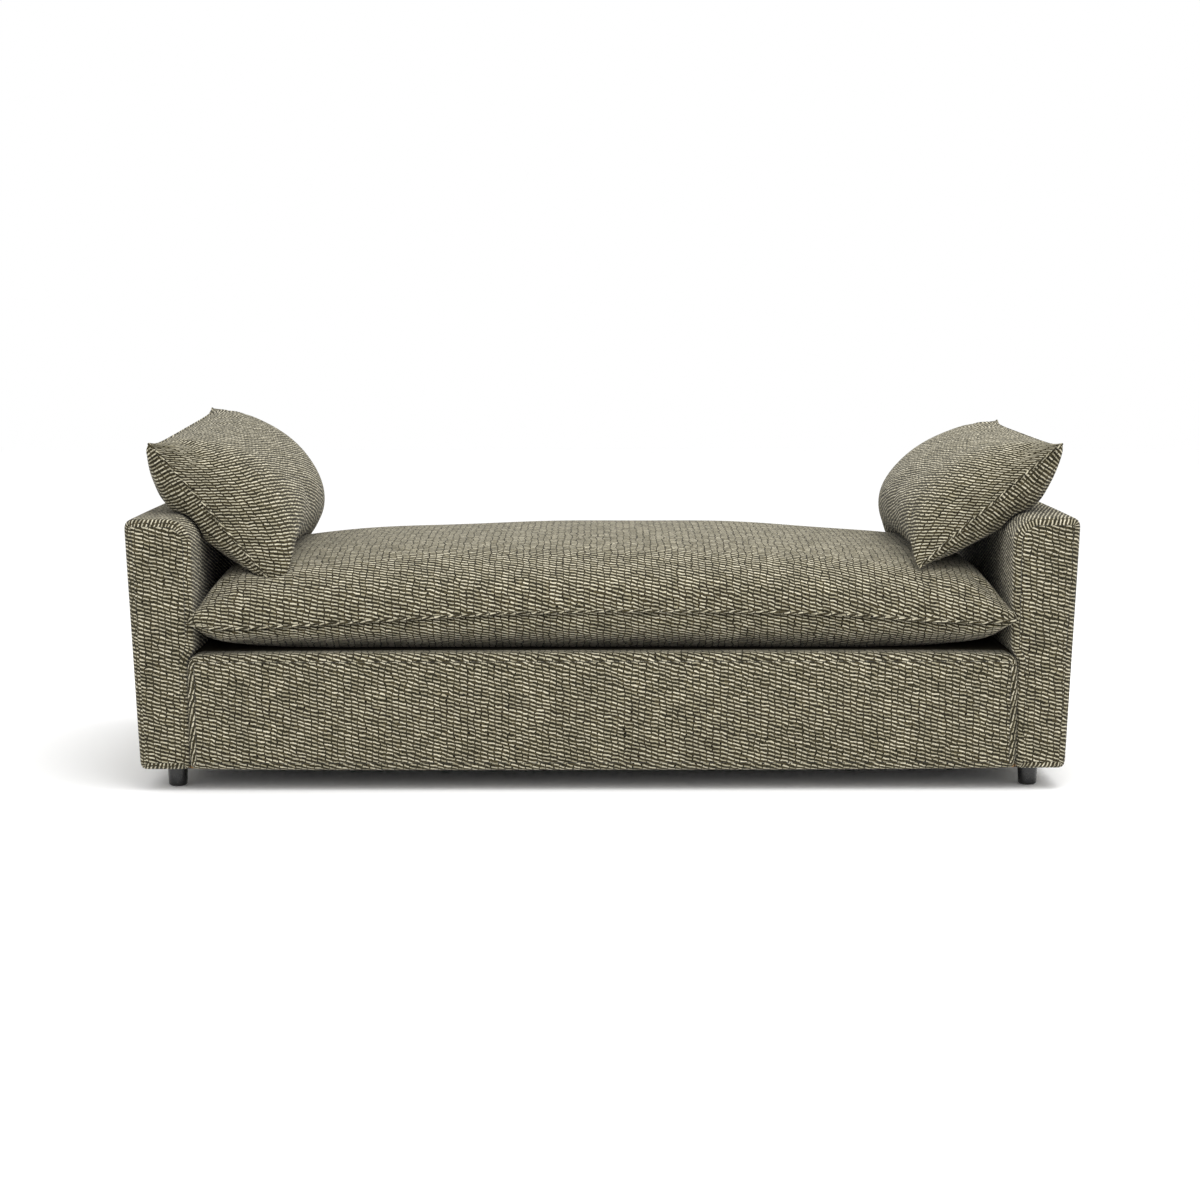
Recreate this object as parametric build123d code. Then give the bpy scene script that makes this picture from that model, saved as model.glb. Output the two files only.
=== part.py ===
from build123d import *
import os
from math import cos, radians, sin

# Backless sofa: two flared end arms bolted to a sprung base, one loose knife-edge bench
# cushion and two loose knife-edge pillows that lean outward on the arms.
# Millimetres. +X is to the right seen from the front, -Y is the front, +Z is up,
# and the origin is on the floor under the middle of the sofa.

# Overall sizes
ARM_SPAN = 2200.0
SOFA_DEPTH = 940.0
ARM_HEIGHT = 635.0
DECK_HEIGHT = 320.0
FOOT_HEIGHT = 50.0

# Arms
ARM_TOP_THICKNESS = 155.0
ARM_FLARE = 23.0
ARM_PAD_STEP = 15.0
ARM_EDGE_RADIUS = 20.0
ARM_OUTER_RADIUS = 28.0
ARM_ROLL_RADIUS = 55.0

# Cloth, padding and boards
FABRIC = 2.0
DUST_CLOTH = 2.0
HARDBOARD = 3.0
BOARD = 25.0
ARM_SIDE_PAD = 10.0
ARM_END_PAD = 20.0
ARM_TOP_PAD = 35.0
PANEL_PAD = 12.0
PANEL_RADIUS = 18.0
PANEL_RETURN = 68.0
EDGE_ROLL = 18.0
DECK_PAD = 25.0
FELT = 6.0
DECK_SIDE_GAP = 0.5
OPENING_GAP = 0.2

# Frame timbers
POST_DEPTH = 70.0
STAY_RAIL_HEIGHT = 50.0
STAY_RAIL_DROP = 20.0
CLEAT = 50.0
CLEAT_HEIGHT = 180.0
CLEAT_LIFT = 28.0
STRETCHER_WIDTH = 60.0
STRETCHER_HEIGHT = 45.0
STRETCHER_SPACING = 480.0

# Springs
WIRE = 3.8
SPRING_WIDTH = 45.0
SPRING_STEP = 25.0
SPRING_SPACING = 120.0
SPRING_END_ROOM = 80.0
CLIP = 12.0
CLIP_WIDTH = 16.0
CLIP_CLEARANCE = 0.3
SPRING_CLEARANCE = 0.1

# Fasteners
BOLT_DIAMETER = 8.0
BOLT_CLEARANCE = 0.3
BOLT_HEAD_FLATS = 13.0
BOLT_HEAD_HEIGHT = 5.5
INSERT_DIAMETER = 13.0
INSERT_LENGTH = 20.0
INSERT_CLEARANCE = 0.1
INSERT_RECESS = 1.0
ARM_BOLT_BACK = 75.0
ARM_BOLT_REACH = 42.0
ARM_BOLT_PITCH = 100.0

# Feet
FOOT_TOP_DIAMETER = 48.0
FOOT_TIP_DIAMETER = 42.6
FOOT_TIP_RADIUS = 3.0
FOOT_SIDE_INSET = 76.0
FOOT_END_INSET = 75.0
FOOT_BOLT_DEPTH = 28.0
FOOT_CLEARANCE = 0.3
GLIDE_DIAMETER = 34.0
GLIDE_THICKNESS = 4.0
GLIDE_PROUD = 1.5
GLIDE_CLEARANCE = 0.2

# Seat cushion
CUSHION_SIDE_GAP = 2.0
CUSHION_LIFT = 0.3
CUSHION_END_INSET = 5.0
CUSHION_DRAW = 13.0
CUSHION_CROWN = 158.0
SEAM_HEIGHT = 82.0
SEAM_BAND = 8.0
SHOULDER_WIDTH = 115.0
BELLY_WIDTH = 58.0
BELLY_TRIM = 3.0
BELLY_TIP = 2.0
CORE_END_MARGIN = 125.0
CORE_SIDE_MARGIN = 80.0
CORE_LIFT = 25.0
CORE_HEIGHT = 78.0
FILL_GAP = 0.8

# Pillows
PILLOW_LENGTH = 760.0
PILLOW_HEIGHT = 400.0
PILLOW_TOP_DRAW = 15.0
PILLOW_FOOT_DRAW = 34.0
PILLOW_BAND = 7.0
PILLOW_TIP = 5.0
PILLOW_SHOULDER = 90.0
PILLOW_ARM_GAP = 0.4
PILLOW_SEAT_GAP = 3.0
LEFT_PILLOW_LEAN = 39.0
LEFT_PILLOW_FRONT = 152.0
LEFT_PILLOW_BACK = 27.0
RIGHT_PILLOW_LEAN = 47.0
RIGHT_PILLOW_FRONT = 125.0
RIGHT_PILLOW_BACK = 46.0

# Zips
SEAT_ZIP_LENGTH = 1120.0
PILLOW_ZIP_LENGTH = 460.0
ZIP_WIDTH = 5.0
ZIP_THICKNESS = 2.5
ZIP_GAP = 0.8
SLIDER_LENGTH = 12.0
SLIDER_WALL = 1.6
SLIDER_CLEARANCE = 0.3
PULL_LENGTH = 18.0
PULL_WIDTH = 5.0

# Places worked out from the sizes
HALF_SPAN = ARM_SPAN / 2
HALF_DEPTH = SOFA_DEPTH / 2
ARM_FOOT_X = HALF_SPAN - ARM_FLARE
ARM_INNER_X = HALF_SPAN - ARM_TOP_THICKNESS
SEAM_X = ARM_INNER_X + ARM_PAD_STEP
FRAME_BOTTOM = FOOT_HEIGHT + DUST_CLOTH
ARM_FRAME_IN = SEAM_X + FABRIC
ARM_FRAME_OUT = ARM_FOOT_X - FABRIC - ARM_SIDE_PAD - HARDBOARD
ARM_FRAME_TOP = ARM_HEIGHT - FABRIC - ARM_TOP_PAD
ARM_FRAME_END = HALF_DEPTH - FABRIC - ARM_END_PAD
BASE_X = SEAM_X - FABRIC
RAIL_OUT = HALF_DEPTH - FABRIC - PANEL_PAD
RAIL_IN = RAIL_OUT - BOARD
RAIL_TOP = DECK_HEIGHT - FABRIC - EDGE_ROLL
DECK_EDGE = HALF_DEPTH - PANEL_RETURN
DECK_FOAM_BOTTOM = DECK_HEIGHT - FABRIC - DECK_PAD
FELT_BOTTOM = DECK_FOAM_BOTTOM - FELT
SPRING_Z = FELT_BOTTOM - SPRING_CLEARANCE - WIRE / 2
CLEAT_IN = RAIL_IN - CLEAT
CLEAT_BOTTOM = FRAME_BOTTOM + CLEAT_LIFT
ARM_BOLT_Y = HALF_DEPTH - ARM_BOLT_BACK
ARM_BOLT_MIDDLE = CLEAT_BOTTOM + CLEAT_HEIGHT / 2
ARM_BOLT_HEIGHTS = (ARM_BOLT_MIDDLE - ARM_BOLT_PITCH / 2, ARM_BOLT_MIDDLE + ARM_BOLT_PITCH / 2)
FOOT_X = ARM_FOOT_X - FOOT_SIDE_INSET
FOOT_Y = HALF_DEPTH - FOOT_END_INSET
FOOT_PLACES = {
    "front_left_foot": (-FOOT_X, -FOOT_Y),
    "front_right_foot": (FOOT_X, -FOOT_Y),
    "rear_left_foot": (-FOOT_X, FOOT_Y),
    "rear_right_foot": (FOOT_X, FOOT_Y),
    "centre_foot": (0.0, 0.0),
}
CUSHION_HALF_LENGTH = ARM_INNER_X - CUSHION_SIDE_GAP
CUSHION_HALF_DEPTH = HALF_DEPTH - CUSHION_END_INSET
CUSHION_FLOOR = DECK_HEIGHT + CUSHION_LIFT
SEAM_Z = CUSHION_FLOOR + SEAM_HEIGHT
PILLOWS = {
    "left_pillow": (-1, LEFT_PILLOW_LEAN, LEFT_PILLOW_FRONT, LEFT_PILLOW_BACK),
    "right_pillow": (1, RIGHT_PILLOW_LEAN, RIGHT_PILLOW_FRONT, RIGHT_PILLOW_BACK),
}
SETTLED = 0.001

# Nested soft shapes are drawn in this many times further at their pointed ends
SEAT_END_INSETS = 3
PILLOW_END_INSETS = 2

# How full the soft shapes stay towards their ends: a higher power keeps them fuller
CROWN_ARCH = 0.36
ARCH_POWER = 2.3
END_POWER = 12
END_BLUNTNESS = 0.3
BELLY_POWER = 16
DRAW_POWER = 6
PILLOW_POWER = 6
SEAT_DOME_POWER = 2.8
PILLOW_DOME_POWER = 2.2
BEND_SHARE = 0.25
BEND_LIMIT = 0.48
SEAT_STATIONS = (0.25, 0.46, 0.62, 0.74, 0.83, 0.90, 0.95, 0.98, 0.994, 1.0)
PILLOW_STATIONS = (0.30, 0.55, 0.72, 0.84, 0.92, 0.97, 1.0)


def block(x0, x1, y0, y1, z0, z1):
    """Box between two opposite corners."""
    box = Box(x1 - x0, y1 - y0, z1 - z0)
    return Pos((x0 + x1) / 2, (y0 + y1) / 2, (z0 + z1) / 2) * box


def rod(diameter, start, end):
    """Round bar between two points."""
    along = Vector(*end) - Vector(*start)
    bar = Cylinder(diameter / 2, along.length, align=(Align.CENTER, Align.CENTER, Align.MIN))
    return Plane(origin=start, z_dir=along) * bar


def left_of(shape):
    """The same piece on the left arm."""
    return mirror(shape, about=Plane.YZ)


def rear_of(shape):
    """The same piece at the rear."""
    return mirror(shape, about=Plane.XZ)


def save(node, *solids):
    """Write a node, as one solid or as a group of like solids."""
    shape = solids[0] if len(solids) == 1 else Compound(children=list(solids))
    export_step(shape, f"parts/{node}.step")


def arm_body(inset):
    """Outside shape of the right arm, drawn in by inset on every side."""
    bottom = FOOT_HEIGHT + inset
    top = ARM_HEIGHT - inset
    inner = ARM_INNER_X + inset
    lean = ARM_FLARE / (ARM_HEIGHT - FOOT_HEIGHT)
    outer_bottom = ARM_FOOT_X + lean * (bottom - FOOT_HEIGHT) - inset
    outer_top = ARM_FOOT_X + lean * (top - FOOT_HEIGHT) - inset
    corners = [(inner, bottom), (outer_bottom, bottom), (outer_top, top), (inner, top)]
    profile = Polygon(*corners, align=None)
    inner_corner = profile.vertices().sort_by(lambda corner: corner.Y - corner.X)[-1]
    profile = fillet(inner_corner, ARM_ROLL_RADIUS - inset)
    outer_corner = profile.vertices().sort_by(lambda corner: corner.X + corner.Y)[-1]
    profile = fillet(outer_corner, ARM_OUTER_RADIUS - inset)
    body = extrude(Plane.XZ * profile, amount=HALF_DEPTH - inset, both=True)
    ends = body.faces().sort_by(Axis.Y)[0].edges() + body.faces().sort_by(Axis.Y)[-1].edges()
    rounded = ends.filter_by(lambda edge: edge.center().Z > bottom + FABRIC)
    body = fillet(rounded, ARM_EDGE_RADIUS - inset)
    notch = block(0, SEAM_X + inset, -SOFA_DEPTH, SOFA_DEPTH, 0, DECK_HEIGHT + inset)
    return body - notch


def arm_bolt_rods(diameter, x0, x1):
    """Round bars along every bolt of the right arm."""
    places = [(y, z) for y in (-ARM_BOLT_Y, ARM_BOLT_Y) for z in ARM_BOLT_HEIGHTS]
    return [rod(diameter, (x0, y, z), (x1, y, z)) for y, z in places]


def arm_cover():
    """Cloth of the right arm, open underneath where the dust cover goes."""
    opening = block(
        SEAM_X - FABRIC, ARM_FRAME_OUT + HARDBOARD + OPENING_GAP,
        -ARM_FRAME_END - OPENING_GAP, ARM_FRAME_END + OPENING_GAP,
        0, FRAME_BOTTOM,
    )
    cover = arm_body(0) - arm_body(FABRIC) - opening
    hole = BOLT_DIAMETER + 2 * BOLT_CLEARANCE
    return cover - arm_bolt_rods(hole, SEAM_X - FABRIC, ARM_FRAME_IN + FABRIC)


def arm_foam():
    """Padding of the right arm, cut out for its frame."""
    frame = block(
        ARM_FRAME_IN - HARDBOARD, ARM_FRAME_OUT + HARDBOARD,
        -ARM_FRAME_END, ARM_FRAME_END,
        0, ARM_FRAME_TOP,
    )
    return arm_body(FABRIC) - frame


def insert_hole(start, end):
    """Hole for a threaded insert whose bolt comes from start towards end."""
    return rod(INSERT_DIAMETER + 2 * INSERT_CLEARANCE, start, end)


def threaded_insert(start, end):
    """Metal sleeve with a bore for the bolt."""
    sleeve = rod(INSERT_DIAMETER, start, end)
    return sleeve - rod(BOLT_DIAMETER + 2 * INSERT_CLEARANCE, start, end)


def arm_post():
    """Front post of the right arm, bored for two arm bolts and their inserts."""
    post = block(
        ARM_FRAME_IN, ARM_FRAME_OUT, -ARM_FRAME_END, -ARM_FRAME_END + POST_DEPTH,
        FRAME_BOTTOM + BOARD, ARM_FRAME_TOP - BOARD,
    )
    bolt_end = ARM_FRAME_IN + ARM_BOLT_REACH + INSERT_RECESS
    insert_end = ARM_FRAME_IN + INSERT_RECESS + INSERT_LENGTH
    for z in ARM_BOLT_HEIGHTS:
        start = (ARM_FRAME_IN, -ARM_BOLT_Y, z)
        post -= rod(BOLT_DIAMETER + 2 * BOLT_CLEARANCE, start, (bolt_end, -ARM_BOLT_Y, z))
        post -= insert_hole(start, (insert_end, -ARM_BOLT_Y, z))
    return post


def arm_bottom_rail():
    """Bottom rail of the right arm, bored for the two feet."""
    rail = block(
        ARM_FRAME_IN, ARM_FRAME_OUT, -ARM_FRAME_END, ARM_FRAME_END,
        FRAME_BOTTOM, FRAME_BOTTOM + BOARD,
    )
    for y in (-FOOT_Y, FOOT_Y):
        rail -= insert_hole((FOOT_X, y, FRAME_BOTTOM), (FOOT_X, y, FRAME_BOTTOM + BOARD))
    return rail


def make_arms():
    """Both arms: timbers, boards, padding and cloth."""
    pieces = {
        "arm_front_post": arm_post(),
        "arm_rear_post": rear_of(arm_post()),
        "arm_bottom_rail": arm_bottom_rail(),
        "arm_top_rail": block(
            ARM_FRAME_IN, ARM_FRAME_OUT, -ARM_FRAME_END, ARM_FRAME_END,
            ARM_FRAME_TOP - BOARD, ARM_FRAME_TOP,
        ),
        "arm_stay_rail": block(
            ARM_FRAME_IN, ARM_FRAME_IN + BOARD,
            -ARM_FRAME_END + POST_DEPTH, ARM_FRAME_END - POST_DEPTH,
            DECK_HEIGHT - STAY_RAIL_DROP, DECK_HEIGHT - STAY_RAIL_DROP + STAY_RAIL_HEIGHT,
        ),
        "arm_outer_board": block(
            ARM_FRAME_OUT, ARM_FRAME_OUT + HARDBOARD, -ARM_FRAME_END, ARM_FRAME_END,
            FRAME_BOTTOM, ARM_FRAME_TOP,
        ),
        "arm_inner_board": block(
            ARM_FRAME_IN - HARDBOARD, ARM_FRAME_IN, -ARM_FRAME_END, ARM_FRAME_END,
            DECK_HEIGHT + FABRIC, ARM_FRAME_TOP,
        ),
        "arm_foam": arm_foam(),
        "arm_cover": arm_cover(),
    }
    for name, shape in pieces.items():
        save(f"right_{name}", shape)
        save(f"left_{name}", left_of(shape))


def panel_body(inset, back):
    """Outside shape of the front panel and its edge roll, drawn in by inset."""
    half = SEAM_X - inset
    front = -HALF_DEPTH + inset
    top = DECK_HEIGHT - inset
    body = block(-half, half, front, back, FOOT_HEIGHT + inset, top)
    upper = body.faces().sort_by(Axis.Z)[-1]
    rounded = upper.edges().filter_by(lambda edge: edge.center().Y < back - FABRIC)
    return fillet(rounded, PANEL_RADIUS - inset)


def make_panels():
    """Padding and cloth over the front and rear rails."""
    inside = panel_body(FABRIC, -DECK_EDGE + PANEL_RETURN)
    under = block(-SEAM_X, SEAM_X, -ARM_FRAME_END - OPENING_GAP, 0, 0, FRAME_BOTTOM)
    cover = panel_body(0, -DECK_EDGE) - inside - under
    behind = block(-SEAM_X, SEAM_X, -DECK_EDGE, 0, 0, ARM_HEIGHT)
    rail = block(-SEAM_X, SEAM_X, -RAIL_OUT, 0, 0, RAIL_TOP)
    foam = inside - behind - rail
    save("front_panel_cover", cover)
    save("rear_panel_cover", rear_of(cover))
    save("front_panel_foam", foam)
    save("rear_panel_foam", rear_of(foam))


def make_base_frame():
    """Rails, stretchers and corner cleats of the base, with the bolts that hold the arms."""
    rail = block(-BASE_X, BASE_X, -RAIL_OUT, -RAIL_IN, FRAME_BOTTOM, RAIL_TOP)
    save("front_rail", rail)
    save("rear_rail", rear_of(rail))
    side = block(BASE_X - BOARD, BASE_X, -CLEAT_IN, CLEAT_IN, CLEAT_BOTTOM, FELT_BOTTOM)
    save("base_side_rails", side, left_of(side))
    half = STRETCHER_WIDTH / 2
    top = FRAME_BOTTOM + STRETCHER_HEIGHT
    stretcher = block(-half, half, -RAIL_IN, RAIL_IN, FRAME_BOTTOM, top)
    centre = stretcher - insert_hole((0, 0, FRAME_BOTTOM), (0, 0, FRAME_BOTTOM + BOARD))
    places = (-STRETCHER_SPACING, STRETCHER_SPACING)
    save("seat_stretchers", centre, *[Pos(x, 0, 0) * stretcher for x in places])
    cleat_top = CLEAT_BOTTOM + CLEAT_HEIGHT
    cleat = block(BASE_X - CLEAT, BASE_X, CLEAT_IN, RAIL_IN, CLEAT_BOTTOM, cleat_top)
    cleat -= arm_bolt_rods(BOLT_DIAMETER + 2 * BOLT_CLEARANCE, BASE_X - CLEAT, BASE_X)
    cleats = [cleat, rear_of(cleat)]
    save("corner_cleats", *cleats, *[left_of(piece) for piece in cleats])


def make_arm_fasteners():
    """Hex bolts through the cleats, and the inserts in the arm posts that take them."""
    head_face = BASE_X - CLEAT
    shanks = arm_bolt_rods(BOLT_DIAMETER, head_face, ARM_FRAME_IN + ARM_BOLT_REACH)
    hexagon = RegularPolygon(BOLT_HEAD_FLATS / 2, 6, major_radius=False)
    bolts = []
    inserts = []
    insert_start = ARM_FRAME_IN + INSERT_RECESS
    for shank in shanks:
        centre = shank.center()
        head_plane = Plane(origin=(head_face, centre.Y, centre.Z), z_dir=(-1, 0, 0))
        bolts.append(shank + extrude(head_plane * hexagon, amount=BOLT_HEAD_HEIGHT))
        start = (insert_start, centre.Y, centre.Z)
        end = (insert_start + INSERT_LENGTH, centre.Y, centre.Z)
        inserts.append(threaded_insert(start, end))
    save("arm_bolts", *bolts, *[left_of(bolt) for bolt in bolts])
    save("arm_bolt_inserts", *inserts, *[left_of(sleeve) for sleeve in inserts])


def sinuous_spring():
    """One zigzag wire from the front clip to the rear clip, flat at the deck."""
    reach = RAIL_IN - CLIP / 2
    turns = round(2 * reach / SPRING_STEP)
    step = 2 * reach / turns
    half = SPRING_WIDTH / 2
    points = []
    for turn in range(turns + 1):
        y = -reach + turn * step
        side = half if turn % 2 else -half
        points += [(side, y, SPRING_Z), (-side, y, SPRING_Z)]
    path = FilletPolyline(*points, radius=BEND_LIMIT * step)
    section = Plane(origin=path @ 0, z_dir=path % 0) * Circle(WIRE / 2)
    return sweep(section, path=path)


def spring_clip():
    """Clip on the front rail that holds the end run of one spring."""
    clip = block(-CLIP_WIDTH / 2, CLIP_WIDTH / 2, -RAIL_IN, -RAIL_IN + CLIP, -CLIP / 2, CLIP / 2)
    bore = WIRE + 2 * CLIP_CLEARANCE
    middle = -RAIL_IN + CLIP / 2
    clip -= rod(bore, (-CLIP_WIDTH, middle, 0), (CLIP_WIDTH, middle, 0))
    return Pos(0, 0, SPRING_Z) * clip


def make_deck():
    """Springs, clips, felt, deck padding, deck cloth and the dust cover underneath."""
    room = 2 * (BASE_X - SPRING_END_ROOM)
    gaps = int(room / SPRING_SPACING)
    places = [(index - gaps / 2) * SPRING_SPACING for index in range(gaps + 1)]
    spring = sinuous_spring()
    clip = spring_clip()
    clips = [clip, rear_of(clip)]
    save("sinuous_springs", *[Pos(x, 0, 0) * spring for x in places])
    save("spring_clips", *[Pos(x, 0, 0) * piece for x in places for piece in clips])
    half = SEAM_X - DECK_SIDE_GAP
    edge = DECK_EDGE - DECK_SIDE_GAP
    save("spring_insulator", block(-half, half, -edge, edge, FELT_BOTTOM, DECK_FOAM_BOTTOM))
    deck_cloth_bottom = DECK_HEIGHT - FABRIC
    save("deck_foam", block(-half, half, -edge, edge, DECK_FOAM_BOTTOM, deck_cloth_bottom))
    deck_cloth = block(-SEAM_X, SEAM_X, -DECK_EDGE, DECK_EDGE, deck_cloth_bottom, DECK_HEIGHT)
    save("deck_cover", deck_cloth)
    far = ARM_FRAME_OUT + HARDBOARD
    dust = block(-far, far, -ARM_FRAME_END, ARM_FRAME_END, FOOT_HEIGHT, FRAME_BOTTOM)
    hole = FOOT_TOP_DIAMETER + 2 * FOOT_CLEARANCE
    for x, y in FOOT_PLACES.values():
        dust -= rod(hole, (x, y, 0), (x, y, ARM_HEIGHT))
    save("dust_cover", dust)


def make_feet():
    """Tapered feet with their glides, hanger bolts and threaded inserts."""
    height = FRAME_BOTTOM - GLIDE_PROUD
    body = Cone(FOOT_TIP_DIAMETER / 2, FOOT_TOP_DIAMETER / 2, height)
    foot = Pos(0, 0, GLIDE_PROUD + height / 2) * body
    foot = fillet(foot.edges().sort_by(Axis.Z)[0], FOOT_TIP_RADIUS)
    bolt_bottom = FRAME_BOTTOM - FOOT_BOLT_DEPTH
    bore = BOLT_DIAMETER + 2 * INSERT_CLEARANCE
    foot -= rod(bore, (0, 0, bolt_bottom - BOLT_CLEARANCE), (0, 0, FRAME_BOTTOM))
    recess = GLIDE_DIAMETER + 2 * GLIDE_CLEARANCE
    foot -= rod(recess, (0, 0, 0), (0, 0, GLIDE_THICKNESS))
    glide = rod(GLIDE_DIAMETER, (0, 0, 0), (0, 0, GLIDE_THICKNESS))
    insert_bottom = FRAME_BOTTOM + INSERT_RECESS
    insert_top = insert_bottom + INSERT_LENGTH
    bolt = rod(BOLT_DIAMETER, (0, 0, bolt_bottom), (0, 0, insert_top))
    insert = threaded_insert((0, 0, insert_bottom), (0, 0, insert_top))
    places = FOOT_PLACES.values()
    for name, (x, y) in FOOT_PLACES.items():
        save(name, Pos(x, y, 0) * foot)
    save("foot_glides", *[Pos(x, y, 0) * glide for x, y in places])
    save("foot_bolts", *[Pos(x, y, 0) * bolt for x, y in places])
    save("foot_inserts", *[Pos(x, y, 0) * insert for x, y in places])


def station(x):
    """Plane across a cushion at x, with its own x along +Y and its own y along +Z."""
    return Plane(origin=(x, 0, 0), x_dir=(0, 1, 0), z_dir=(1, 0, 0))


def fullness(share, power):
    """How much of a swelling is left at this share of the way to the end."""
    return 1 - abs(share) ** power


def dome(share, power):
    """Height of a stuffed crown, from 1 in the middle to 0 at the seam."""
    return fullness(share, power) ** (1 / power)


def both_ways(stations):
    """Shares of the half length from one end to the other."""
    return [-share for share in reversed(stations)] + [0.0] + list(stations)


def crown_rise(share):
    """Height of the seat's ridge above its sewn band."""
    arch = 1 - CROWN_ARCH * abs(share) ** ARCH_POWER
    return CUSHION_CROWN * arch * fullness(share, END_POWER) ** END_BLUNTNESS + SEAM_BAND / 2


def crown_height(x):
    """Height of the seat's ridge above the floor, level past the cushion's ends."""
    share = min(1, abs(x) / CUSHION_HALF_LENGTH)
    return SEAM_Z + SEAM_BAND / 2 + crown_rise(share)


def seat_edge(share):
    """Half depth of the seat at its seam, drawn in between the corners."""
    return CUSHION_HALF_DEPTH - CUSHION_DRAW * fullness(share, DRAW_POWER)


def swell(edge, base, rise, shoulder_width, power):
    """Arcs from the edge at +edge over a crown to the edge at -edge; a negative rise goes down."""
    shoulder = edge - shoulder_width
    bend = edge - BEND_SHARE * shoulder_width
    shoulder_top = base + rise * dome(shoulder / edge, power)
    bend_top = base + rise * dome(bend / edge, power)
    return [
        ThreePointArc((edge, base), (bend, bend_top), (shoulder, shoulder_top)),
        ThreePointArc((shoulder, shoulder_top), (0, base + rise), (-shoulder, shoulder_top)),
        ThreePointArc((-shoulder, shoulder_top), (-bend, bend_top), (-edge, base)),
    ]


def seat_face(share, inset):
    """Cross-section of the seat cushion: flat floor, belly, sewn band, shoulders and crown."""
    band = (SEAM_BAND - inset) / 2
    edge = seat_edge(share) - inset
    rise = crown_rise(share) - inset * fullness(share, END_POWER)
    belly = SEAM_HEIGHT + BELLY_TRIM - SEAM_BAND / 2 - inset
    drop = belly * fullness(share, BELLY_POWER) + BELLY_TIP
    floor_edge = edge - BELLY_WIDTH
    low = SEAM_Z - band
    high = SEAM_Z + band
    floor = low - drop
    bend = edge - BEND_SHARE * BELLY_WIDTH
    bend_low = low - drop * dome(1 - BEND_SHARE, SEAT_DOME_POWER)
    outline = [
        Line((-floor_edge, floor), (floor_edge, floor)),
        ThreePointArc((floor_edge, floor), (bend, bend_low), (edge, low)),
        Line((edge, low), (edge, high)),
        *swell(edge, high, rise, SHOULDER_WIDTH, SEAT_DOME_POWER),
        Line((-edge, high), (-edge, low)),
        ThreePointArc((-edge, low), (-bend, bend_low), (-floor_edge, floor)),
    ]
    return Face(Wire(outline))


def seat_body(inset):
    """The seat cushion drawn in by inset, cut flat where it lies on the deck."""
    half = CUSHION_HALF_LENGTH - SEAT_END_INSETS * inset
    shares = both_ways(SEAT_STATIONS)
    faces = [station(share * half) * seat_face(share, inset) for share in shares]
    floor = CUSHION_FLOOR + min(inset, FABRIC)
    below = block(-HALF_SPAN, HALF_SPAN, -SOFA_DEPTH, SOFA_DEPTH, 0, floor)
    return loft(faces, ruled=True) - below


def make_seat():
    """Seat cushion: top and bottom panels sewn at the seam, foam core, fill and zip."""
    seam = Plane.XY.offset(SEAM_Z)
    outside = seat_body(0)
    inside = seat_body(FABRIC)
    save("seat_cover_top", split(outside, seam, keep=Keep.TOP) - inside)
    save("seat_cover_bottom", split(outside, seam, keep=Keep.BOTTOM) - inside)
    core_x = CUSHION_HALF_LENGTH - CORE_END_MARGIN
    core_y = CUSHION_HALF_DEPTH - CORE_SIDE_MARGIN
    core_z = CUSHION_FLOOR + FABRIC + CORE_LIFT
    core = block(-core_x, core_x, -core_y, core_y, core_z, core_z + CORE_HEIGHT)
    save("seat_foam_core", core)
    fill = seat_body(FABRIC + FILL_GAP)
    middle = Plane.XY.offset(core_z + CORE_HEIGHT / 2)
    save("seat_fill_upper", split(fill, middle, keep=Keep.TOP) - core)
    save("seat_fill_lower", split(fill, middle, keep=Keep.BOTTOM) - core)
    zip_share = SEAT_ZIP_LENGTH / 2 / CUSHION_HALF_LENGTH
    place = Plane(origin=(0, seat_edge(zip_share) + ZIP_GAP, SEAM_Z))
    save("seat_zip", place * zip_chain(SEAT_ZIP_LENGTH))
    save("seat_zip_slider", place * zip_slider(SEAT_ZIP_LENGTH))


def zip_chain(length):
    """Closed zip along x, with y away from the seam that it is sewn to."""
    return block(-length / 2, length / 2, 0, ZIP_THICKNESS, -ZIP_WIDTH / 2, ZIP_WIDTH / 2)


def zip_slider(length):
    """Slider at the low end of a zip, with its pull lying along the chain."""
    start = -length / 2
    gap = SLIDER_CLEARANCE
    half = ZIP_WIDTH / 2 + gap + SLIDER_WALL
    outside = ZIP_THICKNESS + gap + SLIDER_WALL
    body = block(start, start + SLIDER_LENGTH, gap, outside, -half, half)
    body -= block(
        start - SLIDER_LENGTH, start + 2 * SLIDER_LENGTH,
        -ZIP_THICKNESS, ZIP_THICKNESS + gap, -ZIP_WIDTH / 2 - gap, ZIP_WIDTH / 2 + gap,
    )
    pull_start = start + SLIDER_LENGTH / 2
    pull_end = pull_start + PULL_LENGTH
    pull_half = PULL_WIDTH / 2
    pull = block(pull_start, pull_end, outside, outside + SLIDER_WALL, -pull_half, pull_half)
    return body + pull


def pillow_edges(share):
    """Heights of a pillow's top and bottom edges from its middle, drawn in between the corners."""
    drawn = fullness(share, DRAW_POWER)
    half = PILLOW_HEIGHT / 2
    return half - PILLOW_TOP_DRAW * drawn, PILLOW_FOOT_DRAW * drawn - half


def pillow_zip_edge():
    """From a pillow's middle down to its bottom edge where the zip is sewn in."""
    return -pillow_edges(PILLOW_ZIP_LENGTH / PILLOW_LENGTH)[1]


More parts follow.
